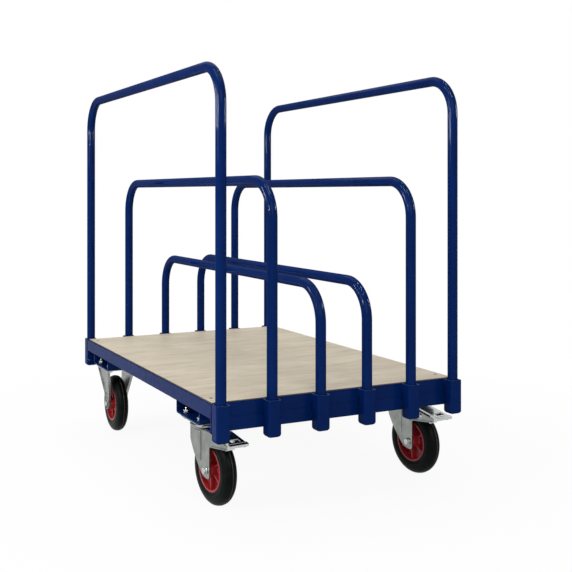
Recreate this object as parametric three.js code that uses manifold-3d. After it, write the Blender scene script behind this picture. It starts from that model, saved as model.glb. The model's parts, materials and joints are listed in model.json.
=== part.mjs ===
// Sheet goods cart: a welded steel flat bed with a plywood deck, six tube hoops that lift out of sockets
// along its two short ends, two braked swivel castors at the front and two fixed castors at the rear.
// Millimetres, +Z up. The origin is on the floor under the middle of the cart, and -Y is the front.
import * as THREE from "three";
import { mergeVertices } from "three/addons/utils/BufferGeometryUtils.js";
import Module from "manifold-3d";

const wasm = await Module();
wasm.setup();

// Gap between pieces that touch inside a turned group, or that turn on each other
const FIT = 0.3;

// Frame of rolled and folded steel
const FRAME_LENGTH = 1200;
const FRAME_WIDTH = 800;
const RAIL_HEIGHT = 40;
const RAIL_LEG = 40;
const RAIL_WALL = 4;
const END_RAIL_HEIGHT = 76;
const END_RAIL_LEG = 30;
const END_RAIL_WALL = 4;

// Channels across the underside that carry the castors
const CHANNEL_WIDTH = 176;
const CHANNEL_HEIGHT = 36;
const CHANNEL_WALL = 4;
const CHANNEL_BEND = 4;
const CHANNEL_INSET = 2;

// Plywood deck and the box tubes under it
const DECK_THICKNESS = 15;
const DECK_PROUD = 3;
const DECK_GAP = 1.5;
const BEARER_COUNT = 4;
const BEARER_WIDTH = 30;
const BEARER_WALL = 2;
const BEARER_END_GAP = 39;

// Hoops, whose rise is from the top of the frame to the centreline of the top bar
const HOOP_TUBE = 30;
const HOOP_WALL = 2;
const HOOP_BEND = 107;
const HOOP_BEND_STEPS = 5;
const TALL_RISE = 906;
const MEDIUM_RISE = 596;
const SHORT_RISE = 303;

// Square sockets that hold the hoops
const SOCKET_CLEARANCE = 2;
const SOCKET_WALL = 3;
const SOCKET_CORNER = 7;
const SOCKET_LENGTH = 101;
const SOCKET_PROUD = 1;
const SOCKET_BASE = 4;
const DRAIN_RADIUS = 5;

// Wheels
const WHEEL_RADIUS = 100;
const WHEEL_FACETS = 20;
const TYRE_WIDTH = 43;
const TYRE_TREAD_WIDTH = 6;
const TYRE_SHOULDER = 26;
const TYRE_BEAD = 8;
const TYRE_STEP = 4;
const RIM_RADIUS = 62;
const RIM_WALL = 6;
const RIM_INSET = 1.5;
const WEB_THICKNESS = 6;
const RIB_COUNT = 6;
const RIB_THICKNESS = 5;
const RIB_INSET = 5;
const MOULD_DRAFT = 2;
const HUB_RADIUS = 20;
const HUB_OVERHANG = 3.5;
const HUB_CLEARANCE = 2;

// Axles
const AXLE_RADIUS = 6;
const AXLE_TUBE_WALL = 4;
const AXLE_HEX = 17;
const AXLE_HEAD = 8;
const AXLE_NUT = 10;
const AXLE_END = 4;

// Castors, in place under the channels
const CASTOR_SIDE_INSET = 60;
const CASTOR_END_INSET = 172;
const CASTOR_HEADROOM = 35;
const CASTOR_TRAIL = 51;
const SWIVEL_DEGREES = 6;
const PLATE_LENGTH = 135;
const PLATE_WIDTH = 110;
const PLATE_THICKNESS = 5;
const PLATE_CORNER = 10;
const RACE_RADIUS = 47;
const RACE_HEIGHT = 17;
const RACE_GROOVE = 5;
const RACE_GROOVE_WIDTH = 5;
const KINGPIN_RADIUS = 8;
const KINGPIN_HEX = 24;
const KINGPIN_NUT = 9;

// Pressed forks
const FORK_WALL = 4;
const FORK_BEND = 10;
const FORK_FOOT = 20;
const FORK_SOLE = 22;
const FORK_TOE = 11;
const FORK_HEEL = 25;
const FORK_HEEL_DROP = 12;
const FORK_BELLY = 15;
const FORK_BELLY_RISE = 46;
const CROWN_REACH = 53;
const CROWN_NOSE = 48;
const CROWN_CORNER = 20;
const CROWN_SKIRT = 6;
const FORK_RIB_FRONT = 23;
const FORK_RIB_REAR = 13;
const FORK_RIB_FOOT_WIDTH = 17;
const FORK_RIB_FOOT_RISE = 24;
const FORK_RIB_HEIGHT = 2.5;
const FORK_RIB_DROP = 2;
const BRACKET_REACH = 60;
const BRACKET_SPLAY = 14;
const BRACKET_KNEE = 15;
const BRACKET_FOOT_DEGREES = 20;
const BRACKET_FLANGE = 5;
const BRACKET_FLANGE_WALL = 3;

// Brake pedal, hinged between the arms of the fork
const HINGE_CLEARANCE = 9.5;
const HINGE_DEGREES = 57.3;
const HINGE_PIN_RADIUS = 4;
const HINGE_HEAD = 2;
const HINGE_HEAD_RADIUS = 6;
const ARM_RISE = 9.5;
const ARM_DROP = 21;
const ARM_LENGTH = 55;
const ARM_TIP = 11;
const ARM_TIP_CORNER = 5;
const ARM_FILLET = 8;
const PEDAL_THICKNESS = 3;
const PEDAL_CLEARANCE = 1.5;
const PEDAL_REAR = 14;
const PEDAL_REAR_RISE = 20;
const PEDAL_RISE = 7;
const PEDAL_TIP_WIDTH = 60;
const PEDAL_TIP_LENGTH = 14;
const PEDAL_TIP_GAP = 5;
const PEDAL_TIP_DROP = 3;
const PEDAL_LIP = 6.5;
const PEDAL_WINDOW = 18;
const PEDAL_WINDOW_WIDTH = 30;
const PEDAL_WINDOW_GAP = 4.5;
const EAR_WALL = 4;
const EAR_SETBACK = 12;
const BRAKE_GAP = 7;
const BRAKE_WIDTH = 30;
const BRAKE_FROM_DEGREES = 9;
const BRAKE_TO_DEGREES = 17;

// Steps along half of each arc: on small bends, on the outlines of the forks and round the hoops' tube
const BEND_STEPS = 1;
const OUTLINE_STEPS = 3;
const TUBE_STEPS = 5;

// Facets round pins and small holes, ball races and drain holes, and steps up a tyre's shoulder
const PIN_FACETS = 12;
const RACE_FACETS = 16;
const DRAIN_FACETS = 8;
const SHOULDER_STEPS = 3;

// Finishes
const BLUE_PAINT = { color: 0x0d2a66, roughness: 0.35, metalness: 0.1 };
const PLYWOOD = { color: 0xd9c9b2, roughness: 0.75, metalness: 0 };
const ZINC = { color: 0xbfc3bf, roughness: 0.4, metalness: 0.85 };
const RUBBER = { color: 0x1b1c1d, roughness: 0.7, metalness: 0 };
const RED_PLASTIC = { color: 0xa51d24, roughness: 0.45, metalness: 0 };

// Levels and places that follow from the sizes above
const castorHeight = 2 * WHEEL_RADIUS + CASTOR_HEADROOM;
const railBottom = castorHeight + CHANNEL_HEIGHT;
const railTop = railBottom + RAIL_HEIGHT;
const deckTop = railTop + DECK_PROUD;
const deckBottom = deckTop - DECK_THICKNESS;
const socketBore = HOOP_TUBE + 2 * SOCKET_CLEARANCE;
const socketWidth = socketBore + 2 * SOCKET_WALL;
const socketBottom = railTop + SOCKET_PROUD - SOCKET_LENGTH;
const socketRow = (FRAME_LENGTH + socketWidth) / 2;
const hoopRises = [TALL_RISE, MEDIUM_RISE, SHORT_RISE, SHORT_RISE, MEDIUM_RISE, TALL_RISE];
const hoopNames = ["tall", "medium", "short", "short", "medium", "tall"];
const hoopPitch = (FRAME_WIDTH - socketWidth) / (hoopRises.length - 1);
const castorX = FRAME_WIDTH / 2 - CASTOR_SIDE_INSET;
const castorY = FRAME_LENGTH / 2 - CASTOR_END_INSET;
const hubLength = TYRE_WIDTH + 2 * HUB_OVERHANG;
const forkGap = hubLength + 2 * HUB_CLEARANCE;
const forkWidth = forkGap + 2 * FORK_WALL;
const axleDrop = castorHeight - WHEEL_RADIUS;
const axleTubeRadius = AXLE_RADIUS + FIT + AXLE_TUBE_WALL;
const crownTop = -(PLATE_THICKNESS + RACE_HEIGHT + FIT);
// Facets lie inside the circle through their corners, so the corners stand a little further out
const treadRadius = WHEEL_RADIUS / Math.cos(Math.PI / WHEEL_FACETS);

// Axes for an upright outline: its x, its y and the way it is extruded
const right = new THREE.Vector3(1, 0, 0);
const back = new THREE.Vector3(0, 1, 0);
const up = new THREE.Vector3(0, 0, 1);
const left = right.clone().negate();
const front = back.clone().negate();
const down = up.clone().negate();
const FLAT = new THREE.Matrix4();
const ACROSS_CART = new THREE.Matrix4().makeBasis(back, up, right);
const ALONG_CART = new THREE.Matrix4().makeBasis(right, up, front);
const CASTOR_SIDE = new THREE.Matrix4().makeBasis(front, up, left);
const ROUND_AXLE = new THREE.Matrix4().makeBasis(back, right, down);
const ROUND_KINGPIN = ALONG_CART;

// Solids

function toSolid(geometry) {
  const bare = geometry.clone();
  bare.deleteAttribute("normal");
  bare.deleteAttribute("uv");
  const merged = mergeVertices(bare);
  const vertProperties = new Float32Array(merged.attributes.position.array);
  const triVerts = new Uint32Array(merged.index.array);
  return new wasm.Manifold(new wasm.Mesh({ numProp: 3, vertProperties, triVerts }));
}

function toGeometry(solid) {
  const mesh = solid.getMesh();
  const geometry = new THREE.BufferGeometry();
  geometry.setAttribute("position", new THREE.BufferAttribute(mesh.vertProperties, mesh.numProp));
  geometry.setIndex(new THREE.BufferAttribute(mesh.triVerts, 1));
  geometry.computeVertexNormals();
  return geometry;
}

function joined(first, ...others) {
  return toGeometry(others.reduce((whole, other) => whole.add(toSolid(other)), toSolid(first)));
}

function cut(body, ...tools) {
  return toGeometry(tools.reduce((rest, tool) => rest.subtract(toSolid(tool)), toSolid(body)));
}

function common(first, ...others) {
  return toGeometry(others.reduce((shared, other) => shared.intersect(toSolid(other)), toSolid(first)));
}

function prism(shape, depth, axes = FLAT, curveSegments = BEND_STEPS) {
  const geometry = new THREE.ExtrudeGeometry(shape, { depth, bevelEnabled: false, curveSegments });
  return geometry.translate(0, 0, -depth / 2).applyMatrix4(axes);
}

function turned(profile, facets, axes) {
  const points = profile.map(([radius, along]) => new THREE.Vector2(radius, along));
  points.push(points[0].clone());
  return new THREE.LatheGeometry(points, facets, Math.PI / facets).applyMatrix4(axes);
}

function rod(radius, length, facets = PIN_FACETS) {
  return new THREE.CylinderGeometry(radius, radius, length, facets).applyMatrix4(ROUND_AXLE);
}

function upright(radius, length, facets = PIN_FACETS) {
  return new THREE.CylinderGeometry(radius, radius, length, facets).applyMatrix4(ROUND_KINGPIN);
}

function hexagon(acrossFlats, length) {
  return rod(acrossFlats / Math.sqrt(3), length, 6);
}

function polygon(points) {
  return new THREE.Shape(points.map(([x, y]) => new THREE.Vector2(x, y)));
}

function rectangle(width, height, corner = 0) {
  const x = width / 2;
  const y = height / 2;
  if (corner === 0) {
    return polygon([[-x, -y], [x, -y], [x, y], [-x, y]]);
  }
  const shape = new THREE.Shape();
  shape.absarc(x - corner, -y + corner, corner, -Math.PI / 2, 0);
  shape.absarc(x - corner, y - corner, corner, 0, Math.PI / 2);
  shape.absarc(-x + corner, y - corner, corner, Math.PI / 2, Math.PI);
  shape.absarc(-x + corner, -y + corner, corner, Math.PI, Math.PI * 1.5);
  return shape;
}

function piece(name, geometry, look) {
  const mesh = new THREE.Mesh(geometry, new THREE.MeshStandardMaterial(look));
  mesh.name = name;
  return mesh;
}

// Frame

// An angle section with its upright at 0 and its leg turned to the positive side, at the bottom.
function angleSection(height, leg, wall) {
  return polygon([[0, 0], [leg, 0], [leg, wall], [wall, wall], [wall, height], [0, height]]);
}

function sideRail(side) {
  const length = FRAME_LENGTH - 2 * END_RAIL_WALL;
  const rail = prism(angleSection(RAIL_HEIGHT, RAIL_LEG, RAIL_WALL), length, ALONG_CART);
  if (side > 0) {
    rail.applyMatrix4(new THREE.Matrix4().makeBasis(left, front, up));
  }
  return rail.translate((side * FRAME_WIDTH) / 2, 0, railBottom);
}

function endRail(end) {
  const rail = prism(angleSection(END_RAIL_HEIGHT, END_RAIL_LEG, END_RAIL_WALL), FRAME_WIDTH, ACROSS_CART);
  if (end > 0) {
    rail.applyMatrix4(new THREE.Matrix4().makeBasis(left, front, up));
  }
  return rail.translate(0, (end * FRAME_LENGTH) / 2, railTop - END_RAIL_HEIGHT);
}

// A folded channel, open at the top, with round bends along its two bottom edges.
function castorChannel() {
  const x = CHANNEL_WIDTH / 2;
  const outer = CHANNEL_BEND + CHANNEL_WALL;
  const section = new THREE.Shape();
  section.moveTo(-x, CHANNEL_HEIGHT);
  section.absarc(-x + outer, outer, outer, Math.PI, Math.PI * 1.5);
  section.absarc(x - outer, outer, outer, -Math.PI / 2, 0);
  section.lineTo(x, CHANNEL_HEIGHT);
  section.lineTo(x - CHANNEL_WALL, CHANNEL_HEIGHT);
  section.absarc(x - outer, outer, CHANNEL_BEND, 0, -Math.PI / 2, true);
  section.absarc(-x + outer, outer, CHANNEL_BEND, -Math.PI / 2, -Math.PI, true);
  section.lineTo(-x + CHANNEL_WALL, CHANNEL_HEIGHT);
  return prism(section, FRAME_WIDTH - 2 * CHANNEL_INSET, ACROSS_CART);
}

function deckPanel() {
  const width = FRAME_WIDTH - 2 * (RAIL_WALL + DECK_GAP);
  const length = FRAME_LENGTH - 2 * (END_RAIL_WALL + DECK_GAP);
  return prism(rectangle(width, length), DECK_THICKNESS).translate(0, 0, (deckTop + deckBottom) / 2);
}

// A box tube that lies on the legs of the side rails and carries the deck.
function deckBearer() {
  const bottom = railBottom + RAIL_WALL;
  const height = deckBottom - bottom;
  const section = rectangle(BEARER_WIDTH, height);
  section.holes.push(rectangle(BEARER_WIDTH - 2 * BEARER_WALL, height - 2 * BEARER_WALL));
  const tube = prism(section, FRAME_WIDTH - 2 * (RAIL_WALL + FIT), ACROSS_CART);
  return tube.translate(0, 0, bottom + height / 2);
}

// Sockets and hoops

// A square tube, closed at the bottom but for a drain hole, that stands against the end rail.
function socket() {
  const outside = prism(rectangle(socketWidth, socketWidth, SOCKET_CORNER), SOCKET_LENGTH);
  const bore = prism(rectangle(socketBore, socketBore, SOCKET_CORNER - SOCKET_WALL), SOCKET_LENGTH);
  const drain = upright(DRAIN_RADIUS, 2 * SOCKET_LENGTH, DRAIN_FACETS);
  const hollow = cut(outside, bore.translate(0, 0, SOCKET_BASE), drain);
  return hollow.translate(0, 0, socketBottom + SOCKET_LENGTH / 2);
}

// The centreline of a hoop, up the front leg, across and down the rear leg. Its parameter counts
// stations, so that a straight run is one step and each bend is HOOP_BEND_STEPS steps.
class HoopLine extends THREE.Curve {
  static stations = 2 * HOOP_BEND_STEPS + 3;

  constructor(foot, top) {
    super();
    this.foot = foot;
    this.top = top;
  }

  // How far round the path has turned at a station: 0 up the front leg, a half turn down the rear leg.
  turn(station) {
    const first = THREE.MathUtils.clamp(station - 1, 0, HOOP_BEND_STEPS);
    const second = THREE.MathUtils.clamp(station - HOOP_BEND_STEPS - 2, 0, HOOP_BEND_STEPS);
    return ((first + second) / HOOP_BEND_STEPS) * (Math.PI / 2);
  }

  getPoint(t) {
    const station = Math.round(t * HoopLine.stations);
    const turn = this.turn(station);
    const end = station <= HOOP_BEND_STEPS + 1 ? -1 : 1;
    if (station === 0 || station === HoopLine.stations) {
      return new THREE.Vector3(0, end * socketRow, this.foot);
    }
    const y = end * (socketRow - HOOP_BEND) - HOOP_BEND * Math.cos(turn);
    return new THREE.Vector3(0, y, this.top - HOOP_BEND + HOOP_BEND * Math.sin(turn));
  }

  getTangent(t) {
    const turn = this.turn(Math.round(t * HoopLine.stations));
    return new THREE.Vector3(0, Math.sin(turn), Math.cos(turn));
  }

  getPointAt(t) {
    return this.getPoint(t);
  }

  getTangentAt(t) {
    return this.getTangent(t);
  }

  getSpacedPoints(count) {
    return this.getPoints(count);
  }
}

function hoop(rise) {
  const section = new THREE.Shape().absarc(0, 0, HOOP_TUBE / 2, 0, Math.PI * 2);
  section.holes.push(new THREE.Path().absarc(0, 0, HOOP_TUBE / 2 - HOOP_WALL, 0, Math.PI * 2, true));
  const extrudePath = new HoopLine(socketBottom + SOCKET_BASE, railTop + rise);
  const options = { steps: HoopLine.stations, extrudePath, curveSegments: TUBE_STEPS };
  return new THREE.ExtrudeGeometry(section, options);
}

// Wheels, about an axle along X

// A solid tyre: a bead beside the rim, a step out to the side wall, and a rounded shoulder to the tread.
function tyre() {
  const half = TYRE_WIDTH / 2;
  const seat = RIM_RADIUS + FIT;
  const rimEdge = half - RIM_INSET;
  const shoulderWidth = half - TYRE_TREAD_WIDTH / 2;
  const shoulder = Array.from({ length: SHOULDER_STEPS + 1 }, (_, i) => {
    const turn = (i / SHOULDER_STEPS) * (Math.PI / 2);
    const radius = treadRadius - TYRE_SHOULDER * (1 - Math.sin(turn));
    return [radius, -TYRE_TREAD_WIDTH / 2 - shoulderWidth * Math.cos(turn)];
  });
  const bead = [
    [seat, -rimEdge],
    [seat + TYRE_BEAD, -rimEdge],
    [seat + TYRE_BEAD + TYRE_STEP, -half],
  ];
  const nearSide = [...bead, ...shoulder];
  const farSide = nearSide.map(([radius, along]) => [radius, -along]).reverse();
  return turned([...nearSide, ...farSide], WHEEL_FACETS, ROUND_AXLE);
}

// A moulded centre: hub, web and rim in one turned section, stiffened by ribs on both faces.
function wheelCentre() {
  const rimEdge = TYRE_WIDTH / 2 - RIM_INSET;
  const rimInside = RIM_RADIUS - RIM_WALL;
  const nearSide = [
    [axleTubeRadius + FIT, -hubLength / 2],
    [HUB_RADIUS, -hubLength / 2],
    [HUB_RADIUS + MOULD_DRAFT, -WEB_THICKNESS / 2],
    [rimInside - MOULD_DRAFT, -WEB_THICKNESS / 2],
    [rimInside, -rimEdge],
    [RIM_RADIUS, -rimEdge],
  ];
  const farSide = nearSide.map(([radius, along]) => [radius, -along]).reverse();
  const section = turned([...nearSide, ...farSide], WHEEL_FACETS, ROUND_AXLE);
  const inner = (HUB_RADIUS + axleTubeRadius) / 2;
  const outer = RIM_RADIUS - RIM_WALL / 2;
  const ribs = Array.from({ length: RIB_COUNT }, (_, i) => {
    const rib = new THREE.BoxGeometry(2 * (rimEdge - RIB_INSET), RIB_THICKNESS, outer - inner);
    return rib.translate(0, 0, (inner + outer) / 2).rotateX((i * 2 * Math.PI) / RIB_COUNT);
  });
  return joined(section, ...ribs);
}

function axleTube() {
  const half = forkGap / 2 - FIT;
  const bore = AXLE_RADIUS + FIT;
  const profile = [[bore, -half], [axleTubeRadius, -half], [axleTubeRadius, half], [bore, half]];
  return turned(profile, PIN_FACETS, ROUND_AXLE);
}

function axleBolt() {
  const seat = forkWidth / 2 + FIT;
  const headMiddle = -seat - AXLE_HEAD / 2;
  const boltEnd = seat + AXLE_NUT + AXLE_END;
  const shank = rod(AXLE_RADIUS, boltEnd - headMiddle).translate((boltEnd + headMiddle) / 2, 0, 0);
  const head = hexagon(AXLE_HEX, AXLE_HEAD).translate(headMiddle, 0, 0);
  const nut = hexagon(AXLE_HEX, AXLE_NUT).translate(seat + AXLE_NUT / 2, 0, 0);
  return joined(shank, head, nut);
}

// Castor heads and forks, drawn from the top of the mounting plate down

function plateOutline() {
  return rectangle(PLATE_WIDTH, PLATE_LENGTH, PLATE_CORNER);
}

function kingpinHole(depth) {
  return upright(KINGPIN_RADIUS + FIT, depth);
}

function topPlate() {
  const plate = prism(plateOutline(), PLATE_THICKNESS);
  return cut(plate, kingpinHole(2 * PLATE_THICKNESS)).translate(0, 0, -PLATE_THICKNESS / 2);
}

// The ball race under the plate, with the groove that shows between its two rings.
function ballRace() {
  const top = -PLATE_THICKNESS;
  const bottom = top - RACE_HEIGHT;
  const middle = (top + bottom) / 2;
  const bore = KINGPIN_RADIUS + FIT;
  const profile = [
    [bore, bottom],
    [RACE_RADIUS, bottom],
    [RACE_RADIUS, middle - RACE_GROOVE_WIDTH / 2],
    [RACE_RADIUS - RACE_GROOVE, middle],
    [RACE_RADIUS, middle + RACE_GROOVE_WIDTH / 2],
    [RACE_RADIUS, top],
    [bore, top],
  ];
  return turned(profile, RACE_FACETS, ROUND_KINGPIN);
}

function kingpin() {
  const nutTop = crownTop - FORK_WALL - FIT;
  const bottom = nutTop - KINGPIN_NUT;
  const pin = upright(KINGPIN_RADIUS, -bottom).translate(0, 0, bottom / 2);
  const nut = upright(KINGPIN_HEX / Math.sqrt(3), KINGPIN_NUT, 6).translate(0, 0, (nutTop + bottom) / 2);
  return joined(pin, nut);
}

// Places in the side view of a castor: x towards the way the wheel trails, y up from the plate.
const axlePoint = new THREE.Vector2(CASTOR_TRAIL, -axleDrop);
const hingeAngle = THREE.MathUtils.degToRad(HINGE_DEGREES);
const hingeReach = WHEEL_RADIUS + HINGE_CLEARANCE;
const hingePoint = new THREE.Vector2(Math.cos(hingeAngle), Math.sin(hingeAngle))
  .multiplyScalar(hingeReach)
  .add(axlePoint);

// Side view of the swivel fork: crown, full rear edge, heel and toe round the axle, and an arm forward to
// the brake pedal.
function forkOutline() {
  const legFront = axlePoint.x + FORK_FOOT;
  const armBottom = hingePoint.y - ARM_DROP;
  const tipX = hingePoint.x + ARM_LENGTH;
  const tipBottom = hingePoint.y - ARM_TIP;
  const sole = axlePoint.y - FORK_SOLE;
  const heel = new THREE.Vector2(axlePoint.x - FORK_HEEL, axlePoint.y - FORK_HEEL_DROP);
  const shape = new THREE.Shape();
  shape.moveTo(-CROWN_REACH, crownTop);
  shape.lineTo(-CROWN_REACH, crownTop - CROWN_SKIRT);
  shape.quadraticCurveTo(-CROWN_REACH + FORK_BELLY, axlePoint.y + FORK_BELLY_RISE, heel.x, heel.y);
  shape.quadraticCurveTo((heel.x + axlePoint.x) / 2, sole, legFront - FORK_TOE, sole);
  shape.quadraticCurveTo(legFront, sole, legFront, sole + FORK_TOE);
  shape.lineTo(legFront, armBottom - ARM_FILLET);
  shape.quadraticCurveTo(legFront, armBottom, legFront + ARM_FILLET, armBottom);
  shape.lineTo(tipX - ARM_TIP_CORNER, tipBottom);
  shape.quadraticCurveTo(tipX, tipBottom, tipX, tipBottom + ARM_TIP_CORNER);
  shape.lineTo(tipX, hingePoint.y);
  shape.lineTo(hingePoint.x, hingePoint.y + ARM_RISE);
  shape.lineTo(CROWN_NOSE, crownTop);
  return shape;
}

// The broad pressing ribs that run down both legs of the fork, behind the axle.
function forkRibs() {
  const ribTop = crownTop - FORK_BEND - FORK_RIB_DROP;
  const ribBottom = axlePoint.y + FORK_FOOT;
  const outline = polygon([
    [-FORK_RIB_REAR, ribTop],
    [-FORK_RIB_REAR, ribBottom + FORK_RIB_FOOT_RISE],
    [FORK_RIB_FRONT - FORK_RIB_FOOT_WIDTH, ribBottom],
    [FORK_RIB_FRONT, ribBottom],
    [FORK_RIB_FRONT, ribTop],
  ]);
  const rib = prism(outline, FORK_WALL / 2 + FORK_RIB_HEIGHT, CASTOR_SIDE);
  const place = forkWidth / 2 - FORK_WALL / 4 + FORK_RIB_HEIGHT / 2;
  return [rib.clone().translate(-place, 0, 0), rib.clone().translate(place, 0, 0)];
}

// The pressed fork: an inverted U with round shoulders, trimmed to its side view and to its plan.
function swivelFork() {
  const half = forkWidth / 2;
  const foot = -axleDrop - 2 * FORK_FOOT;
  const innerBend = FORK_BEND - FORK_WALL;
  const section = new THREE.Shape();
  section.moveTo(half, foot);
  section.absarc(half - FORK_BEND, crownTop - FORK_BEND, FORK_BEND, 0, Math.PI / 2);
  section.absarc(-half + FORK_BEND, crownTop - FORK_BEND, FORK_BEND, Math.PI / 2, Math.PI);
  section.lineTo(-half, foot);
  section.lineTo(-half + FORK_WALL, foot);
  section.absarc(-half + FORK_BEND, crownTop - FORK_BEND, innerBend, Math.PI, Math.PI / 2, true);
  section.absarc(half - FORK_BEND, crownTop - FORK_BEND, innerBend, Math.PI / 2, 0, true);
  section.lineTo(half - FORK_WALL, foot);
  const planLength = 2 * (hingePoint.x + ARM_LENGTH);
  const plan = prism(rectangle(forkWidth + 2 * FIT, planLength, CROWN_CORNER), 4 * axleDrop);
  plan.translate(0, CROWN_REACH - planLength / 2, 0);
  const pressed = common(
    prism(section, 2 * planLength, ALONG_CART),
    prism(forkOutline(), 2 * forkWidth, CASTOR_SIDE, OUTLINE_STEPS),
    plan,
  );
  return cut(
    joined(pressed, ...forkRibs()),
    kingpinHole(-4 * crownTop),
    rod(AXLE_RADIUS + FIT, 2 * forkWidth).translate(0, -axlePoint.x, axlePoint.y),
    rod(HINGE_PIN_RADIUS + FIT, 2 * forkWidth).translate(0, -hingePoint.x, hingePoint.y),
  );
}

// A leg of the fixed bracket from the front: upright at the axle, and splayed out to the plate.
function legSection(outside, thickness) {
  const top = -PLATE_THICKNESS / 2;
  const foot = -axleDrop - 2 * FORK_FOOT;
  const knee = -axleDrop + FORK_FOOT + BRACKET_KNEE;
  const shoulder = -PLATE_THICKNESS - FORK_BEND;
  const outer = [
    [outside, foot],
    [outside, knee],
    [outside + BRACKET_SPLAY, shoulder],
    [outside + BRACKET_SPLAY, top],
  ];
  const inner = outer.map(([x, z]) => [x - thickness, z]).reverse();
  return prism(polygon([...outer, ...inner]), 4 * BRACKET_REACH, ALONG_CART);
}

// The same leg from the side: wide at the plate, round at the axle, and smaller all round by an inset.
function legSide(inset) {
  const reach = BRACKET_REACH - inset;
  const shoulder = -PLATE_THICKNESS - FORK_BEND;
  const footTurn = THREE.MathUtils.degToRad(BRACKET_FOOT_DEGREES);
  const outline = new THREE.Shape();
  outline.moveTo(reach, 0);
  outline.lineTo(-reach, 0);
  outline.lineTo(-reach, shoulder);
  outline.absarc(0, -axleDrop, FORK_FOOT - inset, Math.PI - footTurn, 2 * Math.PI + footTurn);
  outline.lineTo(reach, shoulder);
  return prism(outline, 4 * forkWidth, CASTOR_SIDE, OUTLINE_STEPS);
}

// The fixed bracket: a plate with two legs that splay towards it and have turned-out edges.
function fixedBracket() {
  const half = forkWidth / 2;
  const sheet = common(legSection(half, FORK_WALL), legSide(0));
  const block = common(legSection(half + BRACKET_FLANGE, BRACKET_FLANGE + FORK_WALL / 2), legSide(0));
  const rightLeg = joined(sheet, cut(block, legSide(BRACKET_FLANGE_WALL)));
  const leftLeg = rightLeg.clone().applyMatrix4(new THREE.Matrix4().makeBasis(left, front, up));
  const plate = prism(plateOutline(), PLATE_THICKNESS).translate(0, 0, -PLATE_THICKNESS / 2);
  const axleHole = rod(AXLE_RADIUS + FIT, 4 * forkWidth).translate(0, 0, -axleDrop);
  return cut(joined(plate, rightLeg, leftLeg), axleHole);
}

// Brake

function pedalPin() {
  const headMiddle = forkWidth / 2 + FIT + HINGE_HEAD / 2;
  const shank = rod(HINGE_PIN_RADIUS, 2 * headMiddle);
  const head = rod(HINGE_HEAD_RADIUS, HINGE_HEAD);
  return joined(shank, head.clone().translate(-headMiddle, 0, 0), head.clone().translate(headMiddle, 0, 0));
}

// The pedal: a folded plate with a turned-down lip, two ears on the hinge pin and a shoe above the tyre.
function brakePedal() {
  const halfWidth = forkGap / 2 - PEDAL_CLEARANCE;
  const rear = new THREE.Vector2(hingePoint.x - PEDAL_REAR, hingePoint.y + PEDAL_REAR_RISE);
  const wide = new THREE.Vector2(hingePoint.x + ARM_LENGTH + PEDAL_TIP_GAP, hingePoint.y + PEDAL_RISE);
  const tip = new THREE.Vector2(wide.x + PEDAL_TIP_LENGTH, wide.y - PEDAL_TIP_DROP);
  const sheet = PEDAL_THICKNESS;
  const slope = (wide.y - rear.y) / (wide.x - rear.x);
  const sheetMiddle = (x) => rear.y - sheet / 2 + slope * (x - rear.x);
  const treadle = polygon([
    [rear.x, rear.y - sheet],
    [wide.x + sheet, wide.y - sheet],
    [wide.x + sheet, wide.y],
    [rear.x, rear.y],
  ]);
  const lip = polygon([
    [wide.x, wide.y - sheet],
    [tip.x - sheet, tip.y - sheet],
    [tip.x - sheet, tip.y - PEDAL_LIP],
    [tip.x, tip.y - PEDAL_LIP],
    [tip.x, tip.y],
    [wide.x, wide.y],
  ]);
  const earRadius = HINGE_PIN_RADIUS + EAR_WALL;
  const earFront = wide.x - EAR_SETBACK;
  const ear = new THREE.Shape();
  ear.moveTo(rear.x, sheetMiddle(rear.x));
  ear.lineTo(hingePoint.x - earRadius, hingePoint.y);
  ear.absarc(hingePoint.x, hingePoint.y, earRadius, Math.PI, Math.PI * 1.8);
  ear.lineTo(earFront, sheetMiddle(earFront));
  const shoeRadius = treadRadius + BRAKE_GAP;
  const shoeFrom = hingeAngle - THREE.MathUtils.degToRad(BRAKE_FROM_DEGREES);
  const shoeTo = hingeAngle - THREE.MathUtils.degToRad(BRAKE_TO_DEGREES);
  const shoeRear = axlePoint.x + shoeRadius * Math.cos(shoeFrom);
  const shoeFront = axlePoint.x + shoeRadius * Math.cos(shoeTo);
  const shoe = new THREE.Shape();
  shoe.moveTo(shoeRear, sheetMiddle(shoeRear));
  shoe.absarc(axlePoint.x, axlePoint.y, shoeRadius, shoeFrom, shoeTo, true);
  shoe.lineTo(shoeFront, sheetMiddle(shoeFront));
  const earPlace = halfWidth - sheet / 2;
  const earPlate = prism(ear, sheet, CASTOR_SIDE, OUTLINE_STEPS);
  const body = joined(
    prism(treadle, 2 * halfWidth, CASTOR_SIDE),
    prism(lip, PEDAL_TIP_WIDTH, CASTOR_SIDE),
    earPlate.clone().translate(-earPlace, 0, 0),
    earPlate.clone().translate(earPlace, 0, 0),
    prism(shoe, BRAKE_WIDTH, CASTOR_SIDE),
  );
  const windowMiddle = wide.x - PEDAL_WINDOW_GAP - PEDAL_WINDOW / 2;
  const windowTool = new THREE.BoxGeometry(PEDAL_WINDOW_WIDTH, PEDAL_WINDOW, ARM_LENGTH);
  return cut(
    body,
    windowTool.translate(0, -windowMiddle, wide.y),
    rod(HINGE_PIN_RADIUS + FIT, 2 * forkWidth).translate(0, -hingePoint.x, hingePoint.y),
  );
}

// Assembly

const cart = new THREE.Group();

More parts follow.
